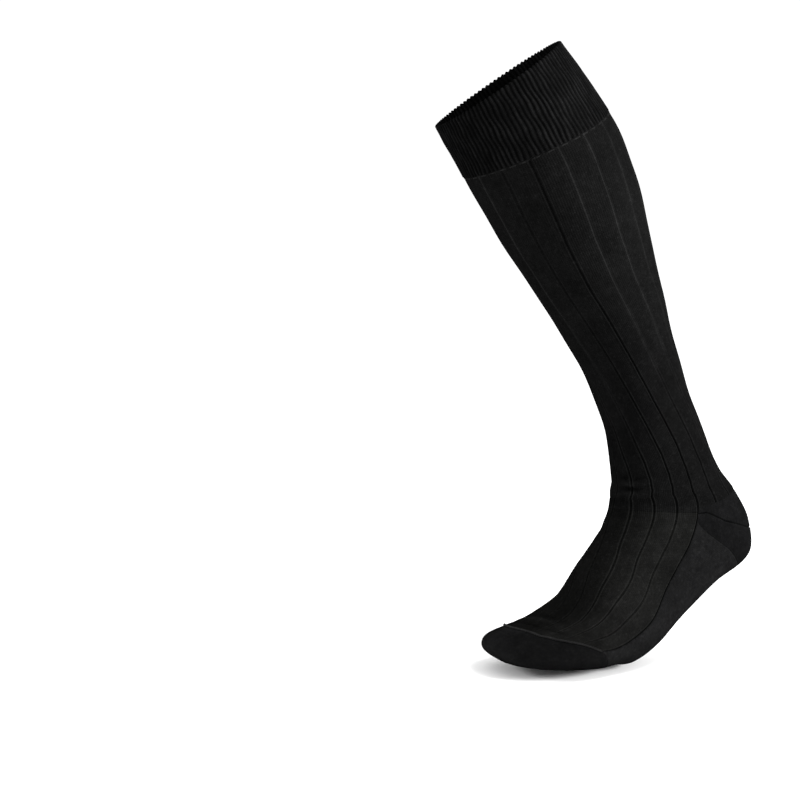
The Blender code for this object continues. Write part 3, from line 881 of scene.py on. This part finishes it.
def cuff_relief(place):
    """Round ribs: the square root of a raised cosine, times the rib's own height."""
    count = cuff_phase(place)
    number = np.round(count).astype(int) % CUFF_RIBS
    wave = np.sqrt(raised_cosine(count)) - RIB_MIDDLE
    along = 1.0 + RIB_UNEVEN * np.sin(place.course * UNEVEN_WAVES + rib_shifts[number])
    return CUFF_PROUD + RIB_DEPTH * wave * (rib_heights[number] * along) + swell_relief(place)


# %% Shades of the cuff
# The cuff's tone is painted light: a painted highlight on the back of each rib, painted shade in
# the valleys between, and valleys painted paler on the outer side.
RIB_PAINTED_HIGHLIGHT = 0.72
RIB_SHARP = 1.3  # power that narrows the pale back of a rib
RIB_LENGTHWISE = (0.85, 0.25, 11.0)  # mean, swing and radians per course of its shade
VALLEY_PAINTED_SHADE = 0.26
VALLEY_SIDE_LIGHT = 0.12  # how much paler the valleys are on the outer side
VALLEY_TURN = 20.0  # degrees


def cuff_tone(place):
    """Painted highlight on the backs of the ribs, each its own shade, and painted shade between
    them.
    """
    count = cuff_phase(place)
    number = np.round(count).astype(int) % CUFF_RIBS
    mean, swing, waves = RIB_LENGTHWISE
    along = mean + swing * np.sin(place.course * waves + rib_shifts[number])
    valley_shade = VALLEY_PAINTED_SHADE - VALLEY_SIDE_LIGHT * np.sin(np.radians(place.angle + VALLEY_TURN))
    back = raised_cosine(count) ** RIB_SHARP
    return valley_shade + RIB_PAINTED_HIGHLIGHT * back * rib_heights[number] * along


# %% Edges of the cuff
def cuff_start(wales):
    """The rim, scalloped: it stands a little higher over each rib."""
    high = RIM_SCALLOP * raised_cosine(rib_count(wales))
    return course_after(np.zeros_like(wales), on_skin(RIM, wales), CUFF_WALL / 2 - high)


def cuff_end(wales):
    """The line under the cuff, less the round of the cuff's own edge."""
    angle = on_skin(CUFF_LINE, wales)
    return course_after(cuff_line(angle), angle, -CUFF_WALL / 2 - JOIN)


CUFF_COLUMNS = CUFF_RIBS * COLUMNS_PER_RIB
ring_piece(
    "cuff",
    -180.0 + np.arange(CUFF_COLUMNS) * 360.0 / CUFF_COLUMNS,
    cuff_start,
    cuff_end,
    even(48),
    even(14),
    CUFF_WALL,
    cuff_relief,
    cuff_tone,
    edge_steps=5,
)

# %% [markdown]
# ## The instep
#
# The leg's panels run on over the foot, from the bend line to the toe seam, and flatten
# where the toes stretch them. Its columns match the leg's, so the grooves run through.

# %% Instep
FOOT_WALL = 0.0012
FLAT_BEFORE_TOES = 1.5  # courses over which the panels flatten
FLATTEST = 0.35
FILLED = 0.62  # share of the relief that is left where the foot fills the cloth
FILL_RUN = 1.2  # courses from the bend line until the foot fills it


def toe_fade(place):
    """1 at the bend, FILLED on the foot, falling to FLATTEST at the toe line."""
    filled = 1.0 - (1.0 - FILLED) * np.clip((place.course - BEND_LINE) / FILL_RUN, 0.0, 1.0)
    before_toes = (toe_line(place.angle) - place.course) / FLAT_BEFORE_TOES
    return np.minimum(filled, np.clip(before_toes, FLATTEST, 1.0))


def instep_relief(place):
    """Panels that flatten toward the toes, folds and swells."""
    return panel_relief(place) * toe_fade(place) + fold_relief(place) + swell_relief(place)


# %% Shades of the instep
INSTEP_TONE = 0.74
# Painted light: the outer side is painted paler, and painted shade darkens the front just below
# the bend.
OUTER_PAINTED_LIGHT = 0.42  # how much paler the outer side is
OUTER_ANGLE = -62.0
OUTER_SPREAD = 33.0
BEND_SHADE = 0.22  # how much darker the front is at the bend
BEND_RUN = 0.022  # metres over which that fades
BEND_ANGLE = -10.0
BEND_SPREAD = 40.0


def instep_tone(place):
    """Flattened panel tone x fold tone, with painted light palest at the outer side and painted
    shade at the bend.
    """
    outer = INSTEP_TONE + OUTER_PAINTED_LIGHT * bell(place.angle - OUTER_ANGLE, OUTER_SPREAD)
    from_bend = bell((place.course - BEND_LINE) * place.pace, BEND_RUN)
    painted_bend_shade = 1.0 - BEND_SHADE * from_bend * bell(place.angle - BEND_ANGLE, BEND_SPREAD)
    panels = 1.0 + (panel_tone(place) - 1.0) * toe_fade(place)
    return panels * fold_tone(place) * (outer * painted_bend_shade)


sheet_piece(
    "instep",
    np.append(panel_wales(-PANELS // 4, PANELS // 4), 90.0),
    lambda wales: np.full_like(wales, BEND_LINE),
    lambda wales: toe_edge(on_skin(TIP, wales), -SEAM_WIDTH / 2),
    even(104),
    FOOT_WALL,
    instep_relief,
    instep_tone,
)

# %% [markdown]
# ## The heel pocket
#
# The heel is knitted back and forth into a pocket. Its two halves grow from the side
# corners and meet along the gore line, a fine furrow from each corner round the back.
# The stitches of each half run parallel to that half's outer edge.

# %% Heel
POCKET_WALL = 0.0016
GORE_WIDTH = 0.0006
GORE_DEPTH = 0.0007
GORE_LIP = 0.0003
GORE_LIP_AT = 1.6 * GORE_WIDTH
GoreRow = namedtuple("GoreRow", "behind_side after_bend")  # degrees, courses
GORE_ROWS = (
    GoreRow(0.0, 0.05),
    GoreRow(10.0, 0.00),
    GoreRow(29.0, 0.36),
    GoreRow(60.0, 0.54),
    GoreRow(90.0, 0.58),
)


def gore_offset(place):
    """Signed distance from the gore line, in metres."""
    behind = np.abs(from_front(place.angle)) - 90.0
    return (place.course - BEND_LINE - np.interp(behind, *zip(*GORE_ROWS))) * place.pace


def heel_relief(place):
    """A furrow along the gore line with a low lip under it, and swells."""
    offset = gore_offset(place)
    lips = GORE_LIP * bell(offset - GORE_LIP_AT, GORE_WIDTH)
    return lips - GORE_DEPTH * bell(offset, GORE_WIDTH) + swell_relief(place)


# %% Shades of the heel
HEEL_RUBBED = 0.20
RUBBED_SPREAD = 45.0  # degrees round the back of the heel
BLEND_PALER = 0.22
BLEND_RUN = 0.012  # metres over which the pocket takes on the leg's shade
# Painted light along the gore line: a painted highlight on its lip and painted shade in its
# furrow.
GORE_LIP_HIGHLIGHT = 0.35
GORE_FURROW_SHADE = 0.7


def heel_tone(place):
    """Painted shade in the furrow and a painted highlight on its lip, a little paler where the
    heel rubs and beside the leg.
    """
    rubbed = HEEL_RUBBED * bell(from_front(place.angle - 180.0), RUBBED_SPREAD)
    below_leg = (place.course - heel_top(place.angle)) * place.pace
    blend = BLEND_PALER * bell(below_leg, BLEND_RUN)
    offset = gore_offset(place)
    lip_highlight = GORE_LIP_HIGHLIGHT * bell(offset - GORE_LIP_AT, GORE_WIDTH)
    return 1.0 + rubbed + blend + lip_highlight - GORE_FURROW_SHADE * bell(offset, GORE_WIDTH)


def pocket_rows(points):
    """Stitches counted from the nearer edge, so the rows meet at the gore line."""
    down = down_the_columns(points)
    return np.minimum(down, down[-1:] - down)


BACK_ANGLES = np.linspace(90.0, 270.0, 193)
sheet_piece(
    "heel",
    BACK_ANGLES,
    heel_top,
    lambda angle: course_after(heel_low(angle), angle, -JOIN),
    even(110),
    POCKET_WALL,
    heel_relief,
    heel_tone,
    pocket_rows,
)

# %% [markdown]
# ## The sole
#
# The sole is plain knit: no panels, only even stitches. It is a little paler and thicker
# than the ribs, and rubbed under the ball of the foot.

# %% Sole
SOLE_WALL = 0.0014
SOLE_PROUD = 0.0001
BALL_RUBBED = 0.25
BALL_RUN = 1.6  # courses to both sides of the ball
BALL_SPREAD = 60.0  # degrees to both sides of the middle
# Painted shade in the furrow beside the instep.
SOLE_EDGE_SHADE = 0.5
EDGE_WIDTH = 0.0008


def sole_relief(place):
    """Folds and swells on a plain sheet, a little proud at the instep's edge."""
    return SOLE_PROUD + fold_relief(place) + swell_relief(place)


def sole_tone(place):
    """Paler where the ball of the foot rubs, painted shade in the furrow beside the instep."""
    middle = bell(from_front(place.angle - 180.0), BALL_SPREAD)
    rubbed = BALL_RUBBED * bell(place.course - BALL, BALL_RUN) * middle
    edge = np.abs(np.abs(from_front(place.angle)) - 90.0) * place.reach
    return 1.0 + rubbed - SOLE_EDGE_SHADE * bell(edge, EDGE_WIDTH)


sheet_piece(
    "sole",
    BACK_ANGLES,
    lambda angle: course_after(heel_low(angle), angle, JOIN),
    lambda angle: toe_edge(angle, 0.0),
    even(120),
    SOLE_WALL,
    sole_relief,
    sole_tone,
)

# %% [markdown]
# ## The toe cap
#
# The toe cap is plain reinforced knit, closed at the tip. Its rows crowd toward the tip,
# where the cap curves most.

# %% Toe
TOE_EASE = 1.5  # rows crowd toward the tip by this power
TOE_COLUMNS = 360
TOE_LINES = 70
TOE_CALM = 1.5  # courses before the tip over which the swells die out
TIP_RUBBED = 1.25
TIP_RUN = 1.9  # courses
# Painted highlight: a pale strip just past the seam on the big-toe side.
SEAM_STRIP_HIGHLIGHT = 0.8
STRIP_AT = 0.003  # metres past the seam
STRIP_WIDTH = 0.004
STRIP_FROM = -45.0  # degrees: the strip begins here and grows over STRIP_OVER
STRIP_OVER = 30.0


def toe_relief(place):
    """Swells that die out at the tip, where the rows draw together."""
    return swell_relief(place) * np.clip((TIP - place.course) / TOE_CALM, 0.0, 1.0)


def toe_tone(place):
    """Rubbed pale over the toe tips, and a painted highlight along the seam on the big-toe side.
    """
    from_seam = (place.course - toe_line(place.angle)) * place.pace
    grown = np.clip((place.angle - STRIP_FROM) / STRIP_OVER, 0.0, 1.0)
    seam_highlight = bell(from_seam - STRIP_AT, STRIP_WIDTH) * grown * (np.abs(place.angle) < 90.0)
    return 1.0 + TIP_RUBBED * bell(place.course - TIP, TIP_RUN) + SEAM_STRIP_HIGHLIGHT * seam_highlight


def toe_cap():
    """Closed rows from the toe line nearly to the tip."""
    wales = np.linspace(-180.0, 180.0, TOE_COLUMNS + 1)[:-1]
    shares = 1.0 - (1.0 - even(TOE_LINES + 1)[:-1]) ** TOE_EASE
    gap = np.where(np.abs(wales) < 90.0, SEAM_WIDTH / 2, JOIN)
    first = toe_edge(on_skin(TIP, wales), gap)
    place = knitted(first + (TIP - first) * shares[:, None], wales[None, :])
    points = place.point + place.normal * (FACE + toe_relief(place))[..., None]
    closed = np.concatenate([points, points[:, :1]], axis=1)
    turn = np.append(wales, wales[0] + 360.0) / 360.0 * WALES
    across = np.broadcast_to(turn, closed.shape[:2])
    return points, across, down_the_columns(closed), toe_tone(place)


# %% [markdown]
# A grid of rows can't end in one point. Its last row is a small ring, and a fan of
# triangles from that ring to one new point, the pole, closes the tip.

# %% The tip closed by a pole
def close_pole(mesh, columns):
    """Draws the last row into the tip with one fan of triangles."""
    shape = bmesh.new()
    shape.from_mesh(mesh)
    shape.verts.ensure_lookup_table()
    last = shape.verts[-columns:]
    layer = shape.loops.layers.uv["knit"]
    tone = shape.verts.layers.float["tone"]
    pole = shape.verts.new(sum((v.co for v in last), last[0].co * 0) / columns)
    pole[tone] = last[0][tone]
    for here, beside in zip(last, [*last[1:], last[0]]):
        face = shape.faces.new((here, beside, pole))
        face.smooth = True
        for loop in face.loops:
            loop[layer].uv = (0.0, 0.0)
    shape.to_mesh(mesh)
    shape.free()


toe_points, toe_across, toe_down, toe_tones = toe_cap()
toe_mesh = grid_mesh("toe", toe_points, toe_across, toe_down, toe_tones, True, False)
close_pole(toe_mesh, toe_points.shape[1])
show("toe", toe_mesh, POCKET_WALL)

# %% [markdown]
# ## The toe seam
#
# After knitting, the toe is linked shut by hand. The joining yarn shows as a fine raised
# cord of slanting stitches over the top of the toes. A cord is a circle carried along the
# seam line; two lobes that turn as it goes make the twisted stitches.

# %% Toe seam
SEAM_RADIUS = 0.0009
SEAM_LIFT = 0.0002  # of the cord's middle above the cloth's face
SEAM_TWIST = 0.0021  # metres for one turn of the lobes
SEAM_LOBE = 0.22
SEAM_STEPS = 900
SEAM_SIDES = 14
SEAM_TAPER = 0.002  # metres over which both ends thin out
SEAM_END = 0.25  # radius left at the ends, as a share
SEAM_TONES = (0.55, 1.15)  # little-toe side, big-toe side


def seam_cord():
    """Centre + radius x (across cos + normal sin), radius growing in two twisting lobes."""
    angles = np.linspace(-90.0, 90.0, SEAM_STEPS)
    place = survey(toe_edge(angles, 0.0), angles)
    centre = place.point + place.normal * (FACE + SEAM_LIFT)
    along = np.gradient(centre, axis=0)
    along /= np.linalg.norm(along, axis=-1, keepdims=True)
    across = np.cross(place.normal, along)
    length = np.linalg.norm(np.diff(centre, axis=0), axis=-1).cumsum()
    length = np.append(0.0, length)
    turn = np.linspace(0.0, 2 * math.pi, SEAM_SIDES + 1)[:-1][None, :]
    from_end = np.minimum(length, length[-1] - length)
    taper = np.sqrt(np.clip(from_end / SEAM_TAPER, 0.0, 1.0))
    lobes = 1.0 + SEAM_LOBE * np.cos(2 * turn + 2 * math.pi * length[:, None] / SEAM_TWIST)
    radius = SEAM_RADIUS * lobes * (SEAM_END + (1.0 - SEAM_END) * taper[:, None])
    ring = across[:, None] * np.cos(turn)[..., None]
    ring = ring + place.normal[:, None] * np.sin(turn)[..., None]
    return centre[:, None] + ring * radius[..., None], length


# %% Seam mesh
seam_points, seam_length = seam_cord()
print("toe seam", round(float(seam_length[-1]), 3), "m long")
seam_corners = (SEAM_STEPS, SEAM_SIDES + 1)
seam_across = np.broadcast_to(np.linspace(0.0, 2.0, SEAM_SIDES + 1), seam_corners)
seam_down = np.broadcast_to(seam_length[:, None] / STITCH_HEIGHT, seam_corners)
seam_shades = np.linspace(*SEAM_TONES, SEAM_STEPS)[:, None]
seam_tones = np.broadcast_to(seam_shades, seam_points.shape[:2])
seam_mesh = grid_mesh("toe_seam", seam_points, seam_across, seam_down, seam_tones, True, False)


def close_ends(mesh, columns):
    """Caps both open ends of the cord with one face each."""
    shape = bmesh.new()
    shape.from_mesh(mesh)
    shape.verts.ensure_lookup_table()
    shape.faces.new(shape.verts[:columns])
    shape.faces.new(list(reversed(shape.verts[-columns:])))
    bmesh.ops.recalc_face_normals(shape, faces=shape.faces)
    shape.to_mesh(mesh)
    shape.free()


close_ends(seam_mesh, SEAM_SIDES)
show("toe_seam", seam_mesh)

# %% [markdown]
# ## Shader maths as expressions
#
# A knit finish is mostly arithmetic: where inside a stitch does this point lie, and how
# high is the yarn there? Writing that with bare nodes is long, so a small class wraps a
# socket and lets Python operators add the Math nodes.


# %% Sockets with operators
class Wire:
    """An output socket of a node tree that understands + - * ** and the reflected forms."""

    def __init__(self, tree, socket):
        self.tree, self.socket = tree, socket

    def maths(self, operation, *others):
        """A Math node on this wire and the others."""
        node = self.tree.nodes.new("ShaderNodeMath")
        node.operation = operation
        for socket, value in zip(node.inputs, (self, *others)):
            plug(self.tree, socket, value)
        return Wire(self.tree, node.outputs[0])

    def __add__(self, other):
        return self.maths("ADD", other)

    def __mul__(self, other):
        return self.maths("MULTIPLY", other)

    def __sub__(self, other):
        return self.maths("SUBTRACT", other)

    def __rsub__(self, other):
        return (self * -1.0) + other

    def __pow__(self, other):
        return self.maths("POWER", other)

    __radd__ = __add__
    __rmul__ = __mul__


def plug(tree, socket, value):
    """Links a wire to a socket, or sets a plain value on it."""
    if isinstance(value, Wire):
        tree.links.new(value.socket, socket)
    else:
        socket.default_value = value


def make_node(tree, kind, settings=None, **sockets):
    """A node with its settings set first and its sockets filled; returns the node."""
    node = tree.nodes.new(kind)
    for name, value in (settings or {}).items():
        setattr(node, name, value)
    for name, value in sockets.items():
        plug(tree, node.inputs[name.replace("_", " ")], value)
    return node


# %% [markdown]
# ## The knit finish
#
# One stitch is a V: two strands of yarn that lean toward each other. Across a wale the
# strands are two round humps, and down a wale each hump is cut by the next stitch, higher
# at the sides than in the middle, which gives the V. The height feeds a Bump node, and
# also darkens the colour between strands, where little light gets in. Four layers of noise
# make clouds, patches, lint and single fibres. Black cotton is matt, so nothing mirrors.

# %% Height of a stitch
STITCH_LEAN = 0.45  # share of a stitch that the sides lie behind the middle
STITCH_CUT = 0.55  # how deep the next stitch cuts the strand


def stitch_height(across, down):
    """(4x(1-x)) to a half, times a wave down the wale that starts later at the sides."""
    x = (across + 0.5).maths("FRACT") - 0.5
    x = x.maths("ABSOLUTE") * 2.0
    strand = (x * (1.0 - x) * 4.0) ** 0.5
    wave = ((down + x * STITCH_LEAN) * (2 * math.pi)).maths("COSINE") * 0.5 + 0.5
    return strand * (wave * STITCH_CUT + (1.0 - STITCH_CUT))


# %% Knit material
Finish = namedtuple("Finish", "colour bump roughness fleck")
Layer = namedtuple("Layer", "scale swing")
LAYERS = (  # clouds, patches, lint and single fibres
    Layer(38.0, 0.7),
    Layer(160.0, 0.7),
    Layer(520.0, 0.8),
    Layer(1900.0, 0.5),
)
FLECK_FROM = 0.60  # lint above this shows as a fleck
FLECK_GAIN = 6.0
STITCH_SHADE = 0.6  # how much paler the back of a strand is
STITCH_BASE = 0.62
CLOUD_ROUGH = 0.12  # how much the roughness changes from cloud to cloud
FIBRE_BUMP = 0.35


def noise(tree, place, scale):
    """Smooth noise of that many waves a metre, 0 to 1."""
    return Wire(tree, make_node(tree, "ShaderNodeTexNoise", Vector=place, Scale=scale).outputs[0])


def knit_material(name, finish):
    """Principled shader: colour x stitch shade x tone x cloudiness, bump from stitches."""
    material = bpy.data.materials.new(name)
    material.use_nodes = True
    tree = material.node_tree
    shader = tree.nodes["Principled BSDF"]
    uv = Wire(tree, make_node(tree, "ShaderNodeUVMap", {"uv_map": "knit"}).outputs[0])
    split = make_node(tree, "ShaderNodeSeparateXYZ", Vector=uv)
    across, down = (Wire(tree, split.outputs[index]) for index in (0, 1))
    height = stitch_height(across, down)
    place = Wire(tree, make_node(tree, "ShaderNodeTexCoord").outputs["Object"])
    noises = [noise(tree, place, layer.scale) for layer in LAYERS]
    clouds, _, lint, fibres = noises
    mottle, *others = (
        wire * layer.swing + (1.0 - layer.swing / 2) for wire, layer in zip(noises, LAYERS)
    )
    for other in others:
        mottle = mottle * other
    tone_node = make_node(tree, "ShaderNodeAttribute", {"attribute_name": "tone"})
    flecks = ((lint - FLECK_FROM) * FLECK_GAIN).maths("MAXIMUM", 0.0) * finish.fleck
    stitches = height * STITCH_SHADE + STITCH_BASE
    shade = Wire(tree, tone_node.outputs["Fac"]) * stitches * mottle + flecks
    colour = make_node(tree, "ShaderNodeVectorMath", {"operation": "SCALE"}, Scale=shade)
    colour.inputs[0].default_value = finish.colour
    tree.links.new(colour.outputs[0], shader.inputs["Base Color"])
    rough = clouds * CLOUD_ROUGH + (finish.roughness - CLOUD_ROUGH / 2)
    plug(tree, shader.inputs["Roughness"], rough)
    relief = height + fibres * FIBRE_BUMP
    bump = make_node(tree, "ShaderNodeBump", Height=relief, Distance=finish.bump)
    tree.links.new(bump.outputs[0], shader.inputs["Normal"])
    shader.inputs["Specular IOR Level"].default_value = 0.0
    return material


# %% [markdown]
# All the yarn is black, but not equally so. The dense heel and toe are the darkest, the
# plain sole is paler, and the linked yarn over the toes is the palest of all.

# %% A finish for every piece
FINISHES = {  # colour, bump in metres, roughness, strength of the flecks
    "cuff": Finish((0.0058, 0.0058, 0.0059), 0.00022, 0.85, 0.20),
    "leg": Finish((0.0041, 0.0041, 0.0041), 0.00022, 0.85, 0.50),
    "heel": Finish((0.0031, 0.0031, 0.0032), 0.00016, 0.88, 0.25),
    # The instep is knitted from the leg's yarn; its paler colour is partly painted light, where
    # the foot faces up, and partly a slightly warmer tint.
    "instep": Finish((0.0052, 0.0052, 0.0050), 0.00022, 0.85, 0.50),
    "sole": Finish((0.0056, 0.0056, 0.0057), 0.00018, 0.88, 0.40),
    "toe": Finish((0.0038, 0.0038, 0.0039), 0.00016, 0.88, 0.25),
    "toe_seam": Finish((0.0180, 0.0180, 0.0178), 0.00012, 0.80, 0.10),
}
for node_name, finish in FINISHES.items():
    material = knit_material(node_name + "_finish", finish)
    bpy.data.objects[node_name + "_knit"].data.materials.append(material)
print("finishes", list(FINISHES))

# %% [markdown]
# ## Floor, light and camera
#
# A black sock shows its ribs only by the light that grazes them. A pale room gives the
# even fill, and large soft lamps at both sides and above draw the folds.

# %% Floor and world
FLOOR_REACH = 6.0
FLOOR_GAP = 0.0012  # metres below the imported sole, for the finer surface's relief
FLOOR_WHITE = (0.96, 0.96, 0.96, 1.0)
ROOM_WHITE = (1.0, 1.0, 1.0, 1.0)
ROOM_LIGHT = 1.06
floor_height = CAD_BOX[0][2] - FLOOR_GAP
floor_mesh = bpy.data.meshes.new("floor")
floor_corners = [
    (x * FLOOR_REACH, y * FLOOR_REACH, floor_height)
    for x, y in ((-1, -1), (1, -1), (1, 1), (-1, 1))
]
floor_mesh.from_pydata(floor_corners, [], [(0, 1, 2, 3)])
floor = bpy.data.objects.new("floor", floor_mesh)
bpy.context.scene.collection.objects.link(floor)
floor_paint = bpy.data.materials.new("floor_paint")
floor_paint.use_nodes = True
floor_shader = floor_paint.node_tree.nodes["Principled BSDF"]
floor_shader.inputs["Base Color"].default_value = FLOOR_WHITE
floor_shader.inputs["Roughness"].default_value = 1.0
floor_shader.inputs["Specular IOR Level"].default_value = 0.0
floor_mesh.materials.append(floor_paint)

world = bpy.data.worlds.new("studio")
world.use_nodes = True
world.node_tree.nodes["Background"].inputs["Color"].default_value = ROOM_WHITE
world.node_tree.nodes["Background"].inputs["Strength"].default_value = ROOM_LIGHT
bpy.context.scene.world = world
bpy.context.scene.view_settings.view_transform = "Standard"
print("floor at", round(floor_height, 4), "m")

# %% [markdown]
# Three round lamps stand in for soft boxes. The strongest lights the calf's side and the
# sole, and the two weak ones lift the shin and the rim out of the black.

# %% Soft lamps
Lamp = namedtuple("Lamp", "name place size power")
LAMPS = (
    Lamp("right_box", (1.35, -1.45, 0.6), 0.7, 90.0),
    Lamp("left_box", (-1.9, 0.6, 0.8), 0.5, 16.0),
    Lamp("top_box", (0.5, -0.6, 1.8), 0.7, 14.0),
)
LAMP_TARGET = np.array([-0.07, 0.04, 0.12])


def facing(place, target):
    """Rotation that looks from place at target, with -Z as the way it looks."""
    back = np.array(place) - target
    back /= np.linalg.norm(back)
    right = np.cross((0.0, 0.0, 1.0), back)
    right /= np.linalg.norm(right)
    return Matrix(np.stack([right, np.cross(back, right), back], axis=1)).to_quaternion()


for lamp in LAMPS:
    light = bpy.data.lights.new(lamp.name, "AREA")
    light.shape = "DISK"
    light.size = lamp.size
    light.energy = lamp.power
    holder = bpy.data.objects.new(lamp.name, light)
    holder.location = lamp.place
    holder.rotation_mode = "QUATERNION"
    holder.rotation_quaternion = facing(lamp.place, LAMP_TARGET)
    bpy.context.scene.collection.objects.link(holder)
print("lamps", [lamp.name for lamp in LAMPS])

# %% [markdown]
# The camera stands 2.6 m away, a little above the rim, and looks down at the sock from the
# little-toe side, with a long lens so that the leg's outline is hardly drawn together.

# %% Camera
CAMERA_TURN = -30.95  # degrees round the sock from the little-toe side
CAMERA_DISTANCE = 2.6
CAMERA_HEIGHT = 0.5
CAMERA_YAW = 5.11  # degrees that it looks to the left of the origin
CAMERA_PITCH = 8.55  # degrees that it looks down
CAMERA_LENS = 152.1
CAMERA_SENSOR = 36.0
turned, yaw, pitch = np.radians([CAMERA_TURN, CAMERA_YAW, CAMERA_PITCH]).tolist()
level = np.array([-math.sin(turned), math.cos(turned), 0.0])
aside = np.array([math.cos(turned), math.sin(turned), 0.0])
ahead = level * math.cos(yaw) - aside * math.sin(yaw)
right = aside * math.cos(yaw) + level * math.sin(yaw)
up = np.array([0.0, 0.0, 1.0])
view_axis = ahead * math.cos(pitch) - up * math.sin(pitch)
view_up = up * math.cos(pitch) + ahead * math.sin(pitch)
camera_data = bpy.data.cameras.new("camera")
camera_data.lens = CAMERA_LENS
camera_data.sensor_width = CAMERA_SENSOR
camera = bpy.data.objects.new("camera", camera_data)
camera.location = (*(-level * CAMERA_DISTANCE)[:2], CAMERA_HEIGHT)
camera.rotation_mode = "QUATERNION"
view_turn = Matrix(np.stack([right, view_up, -view_axis], axis=1))
camera.rotation_quaternion = view_turn.to_quaternion()
bpy.context.scene.collection.objects.link(camera)
bpy.context.scene.camera = camera
print("camera at", [round(value, 3) for value in camera.location])
